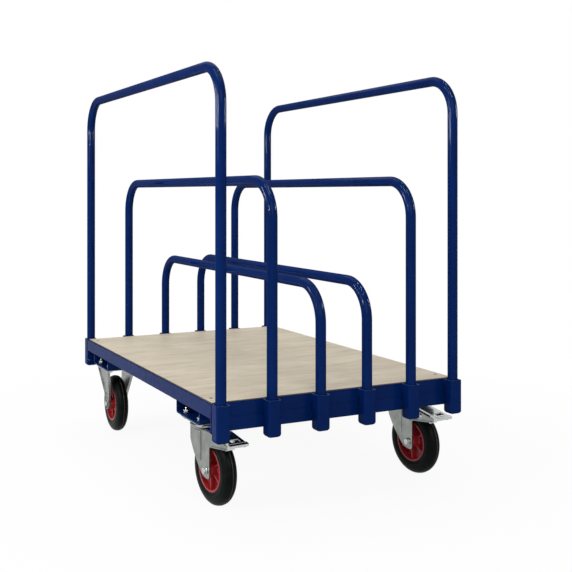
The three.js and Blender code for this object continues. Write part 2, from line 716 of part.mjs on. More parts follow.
function addFrame() {
  for (const [name, side] of [["left", -1], ["right", 1]]) {
    cart.add(piece(`side_rail_${name}`, sideRail(side), BLUE_PAINT));
  }
  for (const [name, end] of [["front", -1], ["rear", 1]]) {
    const channel = piece(`castor_channel_${name}`, castorChannel(), BLUE_PAINT);
    channel.position.set(0, end * castorY, castorHeight);
    cart.add(piece(`end_rail_${name}`, endRail(end), BLUE_PAINT), channel);
  }
  cart.add(piece("deck_panel", deckPanel(), PLYWOOD));
  const lastBearer = FRAME_LENGTH / 2 - END_RAIL_WALL - BEARER_END_GAP - BEARER_WIDTH / 2;
  for (let i = 0; i < BEARER_COUNT; i += 1) {
    const bearer = piece(`deck_bearer_${i + 1}`, deckBearer(), BLUE_PAINT);
    bearer.position.y = lastBearer * ((2 * i) / (BEARER_COUNT - 1) - 1);
    cart.add(bearer);
  }
}

function addHoops() {
  hoopRises.forEach((rise, i) => {
    const x = (i - (hoopRises.length - 1) / 2) * hoopPitch;
    const tube = piece(`hoop_${i + 1}_${hoopNames[i]}`, hoop(rise), BLUE_PAINT);
    const frontSocket = piece(`front_socket_${i + 1}`, socket(), BLUE_PAINT);
    const rearSocket = piece(`rear_socket_${i + 1}`, socket(), BLUE_PAINT);
    tube.position.x = x;
    frontSocket.position.set(x, -socketRow, 0);
    rearSocket.position.set(x, socketRow, 0);
    cart.add(tube, frontSocket, rearSocket);
  });
}

// A wheel and the axle it turns on, as a group about the axle.
function wheelOnAxle(place) {
  const group = new THREE.Group();
  group.add(
    piece(`${place}_tyre`, tyre(), RUBBER),
    piece(`${place}_wheel_centre`, wheelCentre(), RED_PLASTIC),
    piece(`${place}_axle_tube`, axleTube(), ZINC),
    piece(`${place}_axle_bolt`, axleBolt(), ZINC),
  );
  return group;
}

function addSwivelCastor(place, x) {
  const castor = new THREE.Group();
  castor.position.set(x, -castorY, castorHeight);
  const swivel = new THREE.Group();
  swivel.rotation.z = THREE.MathUtils.degToRad(SWIVEL_DEGREES);
  const wheel = wheelOnAxle(place);
  wheel.position.set(0, -axlePoint.x, axlePoint.y);
  const pin = piece(`${place}_pedal_pin`, pedalPin(), ZINC);
  pin.position.set(0, -hingePoint.x, hingePoint.y);
  swivel.add(
    piece(`${place}_fork`, swivelFork(), ZINC),
    piece(`${place}_brake_pedal`, brakePedal(), ZINC),
    pin,
    wheel,
  );
  castor.add(
    piece(`${place}_top_plate`, topPlate(), ZINC),
    piece(`${place}_ball_race`, ballRace(), ZINC),
    piece(`${place}_kingpin`, kingpin(), ZINC),
    swivel,
  );
  cart.add(castor);
}

function addFixedCastor(place, x) {
  const castor = new THREE.Group();
  castor.position.set(x, castorY, castorHeight);
  const wheel = wheelOnAxle(place);
  wheel.position.set(0, 0, -axleDrop);
  castor.add(piece(`${place}_bracket`, fixedBracket(), ZINC), wheel);
  cart.add(castor);
}

addFrame();
addHoops();
addSwivelCastor("front_left", -castorX);
addSwivelCastor("front_right", castorX);
addFixedCastor("rear_left", -castorX);
addFixedCastor("rear_right", castorX);

export default cart;
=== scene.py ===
# %% [markdown]
# # A cart for sheet goods
# The cart is a welded frame of blue steel with a plywood deck. Hoops of bent tube stand in square sockets
# along its two short ends, and four castors carry it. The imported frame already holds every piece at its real
# size and place. This lesson gives the pieces their surfaces: round tube, folded and pressed sheet, moulded
# wheels, small fasteners, and finishes made of shader nodes.

# %% Load the frame
import json
import math

import bmesh
import bpy
from mathutils import Matrix, Vector

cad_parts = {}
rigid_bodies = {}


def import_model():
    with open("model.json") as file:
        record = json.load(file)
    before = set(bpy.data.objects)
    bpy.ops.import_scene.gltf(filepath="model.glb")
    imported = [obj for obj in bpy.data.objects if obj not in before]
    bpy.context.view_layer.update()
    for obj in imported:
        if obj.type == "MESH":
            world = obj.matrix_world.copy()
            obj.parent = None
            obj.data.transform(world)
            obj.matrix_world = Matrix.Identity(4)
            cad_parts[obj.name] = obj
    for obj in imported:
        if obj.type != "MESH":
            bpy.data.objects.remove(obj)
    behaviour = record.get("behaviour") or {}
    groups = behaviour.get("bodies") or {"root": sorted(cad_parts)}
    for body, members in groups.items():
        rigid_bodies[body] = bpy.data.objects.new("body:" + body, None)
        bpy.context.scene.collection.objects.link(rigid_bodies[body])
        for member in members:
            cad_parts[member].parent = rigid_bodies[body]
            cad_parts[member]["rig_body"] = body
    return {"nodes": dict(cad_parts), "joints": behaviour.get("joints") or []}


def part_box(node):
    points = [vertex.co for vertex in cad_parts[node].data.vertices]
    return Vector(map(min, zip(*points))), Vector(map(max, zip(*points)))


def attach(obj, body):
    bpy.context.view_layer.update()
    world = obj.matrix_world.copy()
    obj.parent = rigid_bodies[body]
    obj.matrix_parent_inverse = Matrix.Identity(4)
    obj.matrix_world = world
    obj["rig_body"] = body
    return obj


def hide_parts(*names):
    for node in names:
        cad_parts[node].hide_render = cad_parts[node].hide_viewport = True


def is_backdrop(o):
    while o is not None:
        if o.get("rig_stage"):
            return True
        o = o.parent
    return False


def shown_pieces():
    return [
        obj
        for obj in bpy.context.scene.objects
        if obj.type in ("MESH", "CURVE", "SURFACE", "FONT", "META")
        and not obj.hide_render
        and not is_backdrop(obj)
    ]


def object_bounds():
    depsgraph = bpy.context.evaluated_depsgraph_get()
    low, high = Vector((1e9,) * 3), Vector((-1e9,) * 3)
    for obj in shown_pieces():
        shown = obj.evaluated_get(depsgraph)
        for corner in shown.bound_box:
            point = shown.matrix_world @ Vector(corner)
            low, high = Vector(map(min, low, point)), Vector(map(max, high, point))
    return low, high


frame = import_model()
cad_low, cad_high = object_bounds()
nodes = frame["nodes"]
joints = {joint["name"]: joint for joint in frame["joints"]}
scene = bpy.context.scene
MM = 0.001

# %% [markdown]
# ## The camera
# The photograph keeps upright tubes parallel, so its camera was level and the picture was framed by a shift,
# as with a view camera. A level camera with a lens shift gives the same picture, where a camera that tilts
# down would make the hoops lean.

# %% Place the camera
PHOTO_SIDE = 572
FOCAL_PIXELS = 919.6
STRAIGHT_AHEAD = (260.1, 193.2)
CAMERA_PLACE = (-1.3583, -2.8450, 0.8711)
CAMERA_TURN = math.radians(26.18)

bpy.ops.object.camera_add(location=CAMERA_PLACE, rotation=(math.pi / 2, 0, -CAMERA_TURN))
camera = bpy.context.object
camera.data.lens = camera.data.sensor_width * FOCAL_PIXELS / PHOTO_SIDE
camera.data.shift_x = 0.5 - STRAIGHT_AHEAD[0] / PHOTO_SIDE
camera.data.shift_y = STRAIGHT_AHEAD[1] / PHOTO_SIDE - 0.5
scene.camera = camera
print("lens", round(camera.data.lens, 1), "mm")

# %% [markdown]
# ## Tools for modelling by hand
# Each piece starts as a primitive and is shaped in edit mode: an outline is a filled circle whose corners are
# moved to their places, sheet is that outline extruded, and anything round is a profile that is spun. An
# operator works on all that is selected, so each tool clears the selection first.

# %% Select and edit
def deselect():
    if bpy.context.mode != "OBJECT":
        bpy.ops.object.mode_set(mode="OBJECT")
    bpy.ops.object.select_all(action="DESELECT")


def take(piece):
    """Makes one piece the only selected one, and the active one."""
    deselect()
    piece.select_set(True)
    bpy.context.view_layer.objects.active = piece


def edit(piece):
    take(piece)
    bpy.ops.object.mode_set(mode="EDIT")
    bpy.ops.mesh.select_all(action="SELECT")


def leave():
    bpy.ops.object.mode_set(mode="OBJECT")


def pick(piece, kind, test):
    """In edit mode, selects the vertices, edges or faces that pass a test."""
    bpy.ops.mesh.select_mode(type=kind)
    bpy.ops.mesh.select_all(action="DESELECT")
    mesh = bmesh.from_edit_mesh(piece.data)
    for part in {"VERT": mesh.verts, "EDGE": mesh.edges, "FACE": mesh.faces}[kind]:
        if test(part):
            part.select_set(True)
    bmesh.update_edit_mesh(piece.data)


def named(name):
    piece = bpy.context.object
    piece.name = piece.data.name = name
    return piece


# %% Draw, extrude and spin
MERGE = 0.005 * MM


def tidy(piece):
    """Merges doubled points, drops loose edges and turns every face outwards."""
    edit(piece)
    bpy.ops.mesh.remove_doubles(threshold=MERGE)
    bpy.ops.mesh.delete_loose()
    bpy.ops.mesh.select_all(action="SELECT")
    bpy.ops.mesh.normals_make_consistent(inside=False)
    leave()


def drawn(name, points, fill="NGON"):
    """A flat outline: a circle of as many corners, each moved to its place."""
    deselect()
    bpy.ops.mesh.primitive_circle_add(vertices=len(points), fill_type=fill)
    piece = named(name)
    for corner, point in zip(piece.data.vertices, points):
        corner.co = point
    return piece


def push(reach):
    bpy.ops.mesh.extrude_region_move(TRANSFORM_OT_translate={"value": reach})


def extruded(name, points, reach):
    piece = drawn(name, points)
    edit(piece)
    push(reach)
    leave()
    tidy(piece)
    return piece


def turned(name, profile, axis="X", steps=72):
    """Spins a closed profile of (radius, along) once round an axis through the origin."""
    along_x = axis == "X"
    points = [(along, 0, radius) if along_x else (radius, 0, along) for radius, along in profile]
    piece = drawn(name, points, "NOTHING")
    edit(piece)
    bpy.ops.mesh.spin(
        steps=steps, angle=2 * math.pi, center=(0, 0, 0), axis=(1, 0, 0) if along_x else (0, 0, 1)
    )
    leave()
    tidy(piece)
    return piece


def arc(centre, radius, start, end, steps):
    """Points along an arc, from one angle to another in degrees."""
    turns = [math.radians(start + (end - start) * i / steps) for i in range(steps + 1)]
    return [(centre[0] + radius * math.cos(t), centre[1] + radius * math.sin(t)) for t in turns]


def bow(start, pull, end, steps):
    """Points along a curve that leaves start and reaches end, pulled towards a third point."""
    points = []
    for i in range(steps + 1):
        t = i / steps
        points.append(tuple(
            (1 - t) ** 2 * a + 2 * t * (1 - t) * b + t * t * c for a, b, c in zip(start, pull, end)
        ))
    return points


# %% Finish with modifiers
def applied(piece, kind, **settings):
    change = piece.modifiers.new(kind.lower(), kind)
    for setting, value in settings.items():
        setattr(change, setting, value)
    take(piece)
    bpy.ops.object.modifier_apply(modifier=change.name)


def carve(piece, tool, operation):
    """Joins a tool to a piece, cuts it away, or keeps what they share, and removes the tool."""
    applied(piece, "BOOLEAN", operation=operation, solver="EXACT", object=tool)
    bpy.data.objects.remove(tool)


def soften(piece, width, segments=2, angle=35):
    """Rounds every edge that is sharper than an angle in degrees."""
    limit = math.radians(angle)
    applied(piece, "BEVEL", width=width, segments=segments, limit_method="ANGLE", angle_limit=limit)


def smooth(piece, angle=40):
    take(piece)
    bpy.ops.object.shade_smooth_by_angle(angle=math.radians(angle))
    applied(piece, "WEIGHTED_NORMAL", keep_sharp=True)


def place(piece, matrix):
    """Moves a piece and writes the move into its mesh."""
    take(piece)
    piece.matrix_world = matrix
    bpy.ops.object.transform_apply(location=True, rotation=True, scale=True)


def copied(piece, name, matrix):
    take(piece)
    bpy.ops.object.duplicate(linked=False)
    other = named(name)
    place(other, matrix)
    return other


def joined(name, pieces):
    deselect()
    for piece in pieces:
        piece.select_set(True)
    bpy.context.view_layer.objects.active = pieces[0]
    bpy.ops.object.join()
    return named(name)


# %% [markdown]
# ## Finishes
# A real finish is never one flat number. Paint drifts a little in tone and gloss, zinc is cloudy, and rubber
# and plastic have a fine skin. These effects are shared, so each is a node group with its own inputs: a
# cloudy tone, streaks along one direction, and a fine relief. They read Object coordinates, which stay with
# the piece when it moves.

# %% Node helpers
def add_node(tree, kind, inputs=None, **settings):
    node = tree.nodes.new(kind)
    for setting, value in settings.items():
        setattr(node, setting, value)
    for name, value in (inputs or {}).items():
        if isinstance(value, bpy.types.NodeSocket):
            tree.links.new(value, node.inputs[name])
        else:
            node.inputs[name].default_value = value
    return node


def new_group(name, inputs, output, output_kind="NodeSocketFloat"):
    """A shader node group with named inputs, each (name, kind, value), and one output."""
    tree = bpy.data.node_groups.new(name, "ShaderNodeTree")
    for label, kind, value in inputs:
        tree.interface.new_socket(label, in_out="INPUT", socket_type=kind).default_value = value
    tree.interface.new_socket(output, in_out="OUTPUT", socket_type=output_kind)
    return tree, add_node(tree, "NodeGroupInput").outputs, add_node(tree, "NodeGroupOutput")


def between(tree, share, first, second):
    """A colour between two others."""
    mix = add_node(tree, "ShaderNodeMix", data_type="RGBA")
    tree.links.new(share, mix.inputs["Factor"])
    mix.inputs[6].default_value = (*first, 1)
    mix.inputs[7].default_value = (*second, 1)
    return mix.outputs[2]


def scaled(tree, value, low, high):
    return add_node(
        tree, "ShaderNodeMapRange", {"Value": value, "To Min": low, "To Max": high}
    ).outputs["Result"]


# %% A cloudy tone
FLOAT = "NodeSocketFloat"
NOISE_LOW = 0.3
NOISE_HIGH = 0.7


def here(tree):
    return add_node(tree, "ShaderNodeTexCoord").outputs["Object"]


def spread(tree, noise):
    """Stretches a noise, which keeps near its middle, to the range from 0 to 1."""
    limits = {"Value": noise.outputs["Fac"], "From Min": NOISE_LOW, "From Max": NOISE_HIGH}
    return add_node(tree, "ShaderNodeMapRange", limits).outputs["Result"]


cloudy, given, result = new_group("cloudy_tone", [("Scale", FLOAT, 20.0)], "Tone")
clouds = {"Vector": here(cloudy), "Scale": given["Scale"], "Detail": 4.0, "Roughness": 0.6}
cloudy.links.new(spread(cloudy, add_node(cloudy, "ShaderNodeTexNoise", clouds)), result.inputs["Tone"])
print("effect", cloudy.name)

# %% Streaks along one direction
streaked, given, result = new_group(
    "streaks",
    [("Stretch", "NodeSocketVector", (1.0, 1.0, 1.0)), ("Waver", FLOAT, 0.0), ("Detail", FLOAT, 3.0)],
    "Streak",
)
stretched = add_node(streaked, "ShaderNodeMapping", {"Vector": here(streaked), "Scale": given["Stretch"]})
drawn_out = {
    "Vector": stretched.outputs["Vector"],
    "Scale": 1.0,
    "Detail": given["Detail"],
    "Roughness": 0.6,
    "Distortion": given["Waver"],
}
streaked.links.new(
    spread(streaked, add_node(streaked, "ShaderNodeTexNoise", drawn_out)), result.inputs["Streak"]
)
print("effect", streaked.name)

# %% A fine relief
relief, given, result = new_group(
    "fine_relief",
    [("Scale", FLOAT, 600.0), ("Strength", FLOAT, 0.1), ("Depth", FLOAT, 0.05 * MM)],
    "Normal",
    "NodeSocketVector",
)
pits = {"Vector": here(relief), "Scale": given["Scale"], "Detail": 2.0}
height = add_node(relief, "ShaderNodeTexNoise", pits).outputs["Fac"]
bump = add_node(
    relief, "ShaderNodeBump", {"Height": height, "Strength": given["Strength"], "Distance": given["Depth"]}
)
relief.links.new(bump.outputs["Normal"], result.inputs["Normal"])
print("effect", relief.name)


# %% A finish that drifts in tone
finish = {}
GLOSS = "Specular IOR Level"


def use(tree, group, **inputs):
    """Places a node group in a material, and gives its one output."""
    node = add_node(tree, "ShaderNodeGroup", node_tree=group)
    for name, value in inputs.items():
        node.inputs[name].default_value = value
    return node.outputs[0]


def new_finish(name):
    material = bpy.data.materials.new(name)
    material.use_nodes = True
    return material, material.node_tree, material.node_tree.nodes["Principled BSDF"]


def toned(slot, name, colours, scale, rough=None, grain=None, fixed=None):
    """A finish that drifts between two colours, with its roughness, fine grain and fixed sockets."""
    material, tree, shader = new_finish(name)
    tone = use(tree, cloudy, Scale=scale)
    tree.links.new(between(tree, tone, *colours), shader.inputs["Base Color"])
    if rough:
        tree.links.new(scaled(tree, tone, *rough), shader.inputs["Roughness"])
    if grain:
        size, strength, depth = grain
        normal = use(tree, relief, Scale=size, Strength=strength, Depth=depth * MM)
        tree.links.new(normal, shader.inputs["Normal"])
    for socket, value in (fixed or {}).items():
        shader.inputs[socket].default_value = value
    finish[slot] = material
    print("finish", name)
    return tree, shader


# %% [markdown]
# ## Blue gloss paint
# The frame and the hoops are sprayed with a deep blue enamel. The colour has no gloss of its own and lies
# under a thin clear coat. A full gloss would mirror the white room and wash the blue out, while a weak and
# sharp coat keeps the blue deep and still shows a lamp as a crisp line on a bend. The colour drifts by a few
# parts in a hundred, and a faint orange-peel relief breaks up the reflections.

# %% Paint
BLUE_DEEP = (0.0008, 0.0118, 0.078)
BLUE_CLEAR = (0.0013, 0.0158, 0.101)
COAT_THIN = 0.058
COAT_FULL = 0.082
tree, shader = toned(
    "blue_paint", "blue_gloss_paint", (BLUE_DEEP, BLUE_CLEAR), 9.0,
    grain=(420.0, 0.12, 0.04), fixed={GLOSS: 0.0, "Coat Roughness": 0.05},
)
coat = scaled(tree, use(tree, cloudy, Scale=60.0), COAT_THIN, COAT_FULL)
tree.links.new(coat, shader.inputs["Coat Weight"])

# %% Worn paint with a painted sheen
# Painted sheen: the pale end stands in for the glints on the socket rims, along with real wear.
WORN_SHEEN_BLUE = (0.006, 0.030, 0.125)
WORN_SHEEN_PALE = (0.050, 0.088, 0.175)
toned(
    "worn_sheen_paint", "worn_blue_paint_and_sheen", (WORN_SHEEN_BLUE, WORN_SHEEN_PALE), 130.0,
    rough=(0.25, 0.40), grain=(500.0, 0.15, 0.04), fixed={GLOSS: 0.02},
)

# %% [markdown]
# ## Bright zinc
# The forks, brackets, pedals and bolts are pressed from sheet and plated with zinc. The plating is metal, so
# its colour is the colour of its reflection: a cool grey with cloudy patches that are a little duller. The
# pedals and the bolts get a smoother copy of the zinc whose brighter colour is a painted reflection of the
# lamps.

# %% Zinc
ZINC_DULL = (0.205, 0.218, 0.207)
ZINC_BRIGHT = (0.335, 0.354, 0.339)
# Painted reflection: this brighter copy of the zinc stands in for the lamps that shine in the small parts.
SHEEN_ZINC_DULL = (0.420, 0.440, 0.432)
SHEEN_ZINC_BRIGHT = (0.600, 0.622, 0.612)


def zinc(slot, name, colours, rough):
    tree, shader = toned(slot, name, colours, 26.0, grain=(900.0, 0.15, 0.03), fixed={"Metallic": 1.0})
    patches = use(tree, cloudy, Scale=90.0)
    tree.links.new(scaled(tree, patches, *rough), shader.inputs["Roughness"])


zinc("zinc_plate", "dull_zinc", (ZINC_DULL, ZINC_BRIGHT), (0.40, 0.26))
zinc("zinc_with_painted_sheen", "bright_zinc_painted_sheen", (SHEEN_ZINC_DULL, SHEEN_ZINC_BRIGHT), (0.26, 0.14))

# %% Darkened steel
STEEL_DARK = (0.030, 0.027, 0.024)
STEEL_GREY = (0.075, 0.070, 0.064)
toned(
    "dark_steel", "darkened_steel", (STEEL_DARK, STEEL_GREY), 300.0,
    rough=(0.40, 0.55), fixed={"Metallic": 1.0},
)

# %% [markdown]
# ## Rubber and red plastic
# The tyres are solid black rubber, nearly matt, with a little dust in their tone, and their mould line is
# worn grey by the floor and painted lighter still as a highlight along the tread. The wheel centres are
# moulded in red plastic with a soft gloss.

# %% Rubber
RUBBER_BLACK = (0.0016, 0.0024, 0.0026)
RUBBER_GREY = (0.0042, 0.0054, 0.0056)
# Painted highlight: the mould line is lighter than the rubber, for wear and for the highlight along the tread.
FLASH_HIGHLIGHT_DARK = (0.022, 0.021, 0.019)
FLASH_HIGHLIGHT_GREY = (0.080, 0.076, 0.068)
rubbers = {
    ("black_rubber", "black_tyre_rubber"): (RUBBER_BLACK, RUBBER_GREY),
    ("tyre_flash", "worn_mould_line"): (FLASH_HIGHLIGHT_DARK, FLASH_HIGHLIGHT_GREY),
}
for (slot, name), colours in rubbers.items():
    toned(slot, name, colours, 70.0, rough=(0.32, 0.46), grain=(1500.0, 0.25, 0.05), fixed={GLOSS: 0.05})

# %% Red plastic
RED_DEEP = (0.225, 0.0100, 0.0130)
RED_CLEAR = (0.310, 0.0145, 0.0190)
toned(
    "red_plastic", "red_moulded_plastic", (RED_DEEP, RED_CLEAR), 55.0,
    rough=(0.26, 0.36), grain=(1100.0, 0.12, 0.03), fixed={GLOSS: 0.35},
)

# %% [markdown]
# ## Plywood
# The deck is plain plywood with its grain across the cart. Four layers of streaks make the face: broad
# patches, a wavering figure, fine fibres and a few darker lines. The cut edge is another material: it shows
# the plies as thin lines, and its colour is painted far darker than the face, as shade along the rails.

# %% Plywood face
WOOD_PALE = (0.650, 0.583, 0.462)
WOOD_WARM = (0.420, 0.352, 0.262)
LINE_SHADE = (0.285, 0.234, 0.172)
LINE_FROM = 0.74
LINE_SHARE = 0.75
EVEN = 0.50
FIBRE_SHARE = 0.15
material, tree, shader = new_finish("plywood_face")
patches = use(tree, streaked, Stretch=(2.6, 10.0, 10.0), Waver=1.2, Detail=3.0)
figure = use(tree, streaked, Stretch=(5.0, 42.0, 42.0), Waver=2.2, Detail=5.0)
fibre = use(tree, streaked, Stretch=(13.0, 330.0, 330.0), Waver=0.3, Detail=3.0)
lines = use(tree, streaked, Stretch=(4.4, 66.0, 66.0), Waver=1.8, Detail=4.0)
broad = add_node(tree, "ShaderNodeMath", {0: patches, 1: EVEN}, operation="MULTIPLY").outputs[0]
blend = add_node(tree, "ShaderNodeMath", {0: figure, 1: EVEN, 2: broad}, operation="MULTIPLY_ADD")
darkest = {"Value": lines, "From Min": LINE_FROM, "From Max": 1.0, "To Max": LINE_SHARE}
thin = add_node(tree, "ShaderNodeMapRange", darkest)
marked = add_node(tree, "ShaderNodeMix", {"Factor": thin.outputs["Result"]}, data_type="RGBA")
tree.links.new(between(tree, blend.outputs[0], WOOD_PALE, WOOD_WARM), marked.inputs[6])
marked.inputs[7].default_value = (*LINE_SHADE, 1)
faint = scaled(tree, fibre, 0.0, FIBRE_SHARE)
shade = add_node(tree, "ShaderNodeMix", {"Factor": faint}, data_type="RGBA")
tree.links.new(marked.outputs[2], shade.inputs[6])
shade.inputs[7].default_value = (*WOOD_WARM, 1)
tree.links.new(shade.outputs[2], shader.inputs["Base Color"])
tree.links.new(scaled(tree, fibre, 0.46, 0.60), shader.inputs["Roughness"])
grain = add_node(tree, "ShaderNodeBump", {"Height": fibre, "Strength": 0.25, "Distance": 0.08 * MM})
tree.links.new(grain.outputs["Normal"], shader.inputs["Normal"])
shader.inputs[GLOSS].default_value = 0.12
finish["plywood"] = material

# %% Plywood edge in painted shade
# Painted shade: the edge colours are far darker than the face, for the shade along the rails and in the screw
# holes.
PLY_SHADE_PALE = (0.170, 0.150, 0.124)
PLY_SHADE_DARK = (0.065, 0.055, 0.043)
PLY_THICKNESS = 1.5 * MM
material, tree, shader = new_finish("plywood_edge_painted_shade")
plies = use(tree, streaked, Stretch=(8.0, 8.0, 1 / PLY_THICKNESS), Waver=0.1, Detail=1.0)
tree.links.new(between(tree, plies, PLY_SHADE_PALE, PLY_SHADE_DARK), shader.inputs["Base Color"])
tree.links.new(scaled(tree, plies, 0.6, 0.8), shader.inputs["Roughness"])
shader.inputs[GLOSS].default_value = 0.2
finish["plywood_edge_painted_shade"] = material
print(len(finish), "finishes")


# %% Give a piece its finish, body and solid
LEVEL = 0.5


def dress(piece, *slots):
    """Gives a piece one or more finishes, in place of those that it had."""
    piece.data.materials.clear()
    for slot in slots:
        piece.data.materials.append(finish[slot])


def second_finish(piece, test):
    """Gives the faces that pass a test the second finish of their piece."""
    edit(piece)
    pick(piece, "FACE", test)
    piece.active_material_index = 1
    bpy.ops.object.material_slot_assign()
    leave()


def settle(piece, slot, *solids, body=None):
    """Gives a piece its finish if it has none, lets it ride a body, and hides the solids that it stands for.
    """
    if not piece.data.materials:
        dress(piece, slot)
    body = body or nodes[solids[0]]["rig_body"]
    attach(piece, body)
    if solids:
        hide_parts(*solids)
    print(piece.name, "rides", body)
    return piece


def middle(node):
    low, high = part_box(node)
    return (low + high) / 2


def shift(x, y, z):
    return Matrix.Translation((x, y, z))


# %% [markdown]
# ## Hoops
# A hoop is one length of round tube with two bends. By hand that is a circle, extruded up the leg, spun a
# quarter turn round the centre of the bend, extruded along the bar, spun again and extruded down. A Solidify
# modifier gives the tube its wall, so that a hoop that is lifted out shows an open foot.

# %% Bend the hoops
TUBE_RADIUS = 15 * MM
TUBE_WALL = 2 * MM
TUBE_SIDES = 40
HOOP_BEND = 107 * MM
HOOP_BEND_STEPS = 18
ACROSS = (1, 0, 0)


def bend_tube(node):
    low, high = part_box(node)
    x = (low.x + high.x) / 2
    front = low.y + TUBE_RADIUS
    rear = high.y - TUBE_RADIUS
    shoulder = high.z - TUBE_RADIUS - HOOP_BEND
    deselect()
    bpy.ops.mesh.primitive_circle_add(vertices=TUBE_SIDES, radius=TUBE_RADIUS, location=(x, front, low.z))
    tube = named(node + "_tube")
    bpy.ops.object.transform_apply(location=True)
    edit(tube)
    push((0, 0, shoulder - low.z))
    quarter = {"steps": HOOP_BEND_STEPS, "angle": math.pi / 2, "axis": ACROSS}
    bpy.ops.mesh.spin(center=(x, front + HOOP_BEND, shoulder), **quarter)
    push((0, rear - front - 2 * HOOP_BEND, 0))
    bpy.ops.mesh.spin(center=(x, rear - HOOP_BEND, shoulder), **quarter)
    push((0, 0, low.z - shoulder))
    leave()
    tidy(tube)
    applied(tube, "SOLIDIFY", thickness=TUBE_WALL, offset=-1)
    smooth(tube)
    return settle(tube, "blue_paint", node)


hoops = [bend_tube(node) for node in sorted(nodes) if node.startswith("hoop_")]
print(len(hoops), "hoops")

# %% [markdown]
# ## Sockets
# Each hoop stands in two lengths of square tube, welded to the end rails. A plane with rounded corners is
# inset for the wall, the inside is pushed down for the bore, and the outside is pushed down for the tube.
# The foot is pushed down in small steps that shrink, and has a drain hole. The rim is worn pale by the hoops,
# and its pale colour is also a painted sheen, so it has a finish of its own.

# %% Cut the sockets
SOCKET_CORNER = 7 * MM
SOCKET_WALL = 3 * MM
SOCKET_BASE = 4 * MM
SOCKET_EDGE = 0.7 * MM
SOCKET_FOOT = 9 * MM
FOOT_STEPS = 6
DRAIN_RADIUS = 5 * MM
CORNER_STEPS = 6
low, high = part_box("front_socket_1")
socket_height = high.z - low.z
half = (high.x - low.x) / 2
deselect()
bpy.ops.mesh.primitive_plane_add(size=2 * half)
socket = named("socket_pattern")
edit(socket)
bpy.ops.mesh.bevel(offset=SOCKET_CORNER, segments=CORNER_STEPS, affect="VERTICES")
bpy.ops.mesh.select_all(action="SELECT")
bpy.ops.mesh.inset(thickness=SOCKET_WALL)
push((0, 0, SOCKET_BASE - socket_height))
pick(socket, "EDGE", lambda edge: edge.is_boundary)
push((0, 0, SOCKET_FOOT - socket_height))
foot = [(half - SOCKET_FOOT + x, -z) for x, z in arc((0, 0), SOCKET_FOOT, 0, 90, FOOT_STEPS)]
for (wide, high_z), (narrow, low_z) in zip(foot, foot[1:]):
    push((0, 0, low_z - high_z))
    bpy.ops.transform.resize(value=(narrow / wide, narrow / wide, 1))
bpy.ops.mesh.edge_face_add()
leave()
tidy(socket)
drain = [(0, -2 * socket_height), (DRAIN_RADIUS, -2 * socket_height), (DRAIN_RADIUS, 0), (0, 0)]
carve(socket, turned("drain", drain, "Z", steps=20), "DIFFERENCE")
soften(socket, SOCKET_EDGE, segments=3, angle=60)


def on_rim(face):
    return face.normal.z > LEVEL and all(abs(v.co.z) < SOCKET_EDGE for v in face.verts)


dress(socket, "blue_paint", "worn_sheen_paint")
# The rim faces take the worn paint, which also carries a painted sheen.
second_finish(socket, on_rim)
smooth(socket)
for end in ("front", "rear"):
    for i in range(1, len(hoops) + 1):
        node = f"{end}_socket_{i}"
        stand = middle(node)
        tube = copied(socket, node + "_tube", shift(stand.x, stand.y, stand.z + socket_height / 2))
        settle(tube, "blue_paint", node)
bpy.data.objects.remove(socket)

# %% [markdown]
# ## Welds
# The sockets are welded to the end rails. A weld is a row of overlapping beads, so its profile is a gentle
# ripple that is spun round an upright axis and laid into the corner.

# %% Lay the welds
WELD_RADIUS = 2.6 * MM
WELD_RIPPLE = 0.35 * MM
WELD_LENGTH = 24 * MM
WELD_BEADS = 8
POINTS_PER_BEAD = 5
WELD_POINTS = POINTS_PER_BEAD * WELD_BEADS
WELD_TAPER = 6
WELD_TOP_GAP = 1.5 * MM
WELD_FOOT_GAP = 6 * MM
WELD_TUCK = 2.2 * MM
WELD_PROUD = 1.2 * MM
ripple = [(0, 0)]
for i in range(1, WELD_POINTS):
    share = i / WELD_POINTS
    swell = math.sqrt(min(1, WELD_TAPER * share, WELD_TAPER * (1 - share)))
    radius = WELD_RADIUS * swell + WELD_RIPPLE * math.sin(2 * math.pi * WELD_BEADS * share) * swell
    ripple.append((radius, -WELD_LENGTH * share))
ripple.append((0, -WELD_LENGTH))
bead = turned("weld_pattern", ripple, "Z", steps=14)
smooth(bead, angle=60)
weld_rows = {
    "front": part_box("end_rail_front")[0].y - WELD_PROUD,
    "rear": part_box("end_rail_rear")[1].y + WELD_PROUD,
}
for end, row in weld_rows.items():
    rail_low, rail_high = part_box(f"end_rail_{end}")
    beads = []
    for i in range(1, len(hoops) + 1):
        low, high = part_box(f"{end}_socket_{i}")
        for x in (low.x + WELD_TUCK, high.x - WELD_TUCK):
            tops = (rail_high.z - WELD_TOP_GAP, rail_low.z + WELD_LENGTH + WELD_FOOT_GAP)
            beads += [copied(bead, "weld", shift(x, row, top)) for top in tops]
    settle(joined(f"{end}_socket_welds", beads), "blue_paint", body="cart_frame")
bpy.data.objects.remove(bead)

# %% [markdown]
# ## Rails and channels
# The rails are steel angle and the castor channels are folded sheet. Each is one outline, extruded to length.
# The end rails are made of two strips, so a fine seam runs along them.

# %% Roll the side rails
RAIL_WALL = 4 * MM
RAIL_EDGE = 1.0 * MM


def angle_outline(height, leg, wall):
    return [(0, 0), (leg, 0), (leg, wall), (wall, wall), (wall, height), (0, height)]


for side in ("left", "right"):
    node = f"side_rail_{side}"
    low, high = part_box(node)
    outline = angle_outline(high.z - low.z, high.x - low.x, RAIL_WALL)
    points = [(low.x + u if side == "left" else high.x - u, low.y, low.z + v) for u, v in outline]
    rail = extruded(node + "_angle", points, (0, high.y - low.y, 0))
    soften(rail, RAIL_EDGE)
    smooth(rail)
    settle(rail, "blue_paint", node)

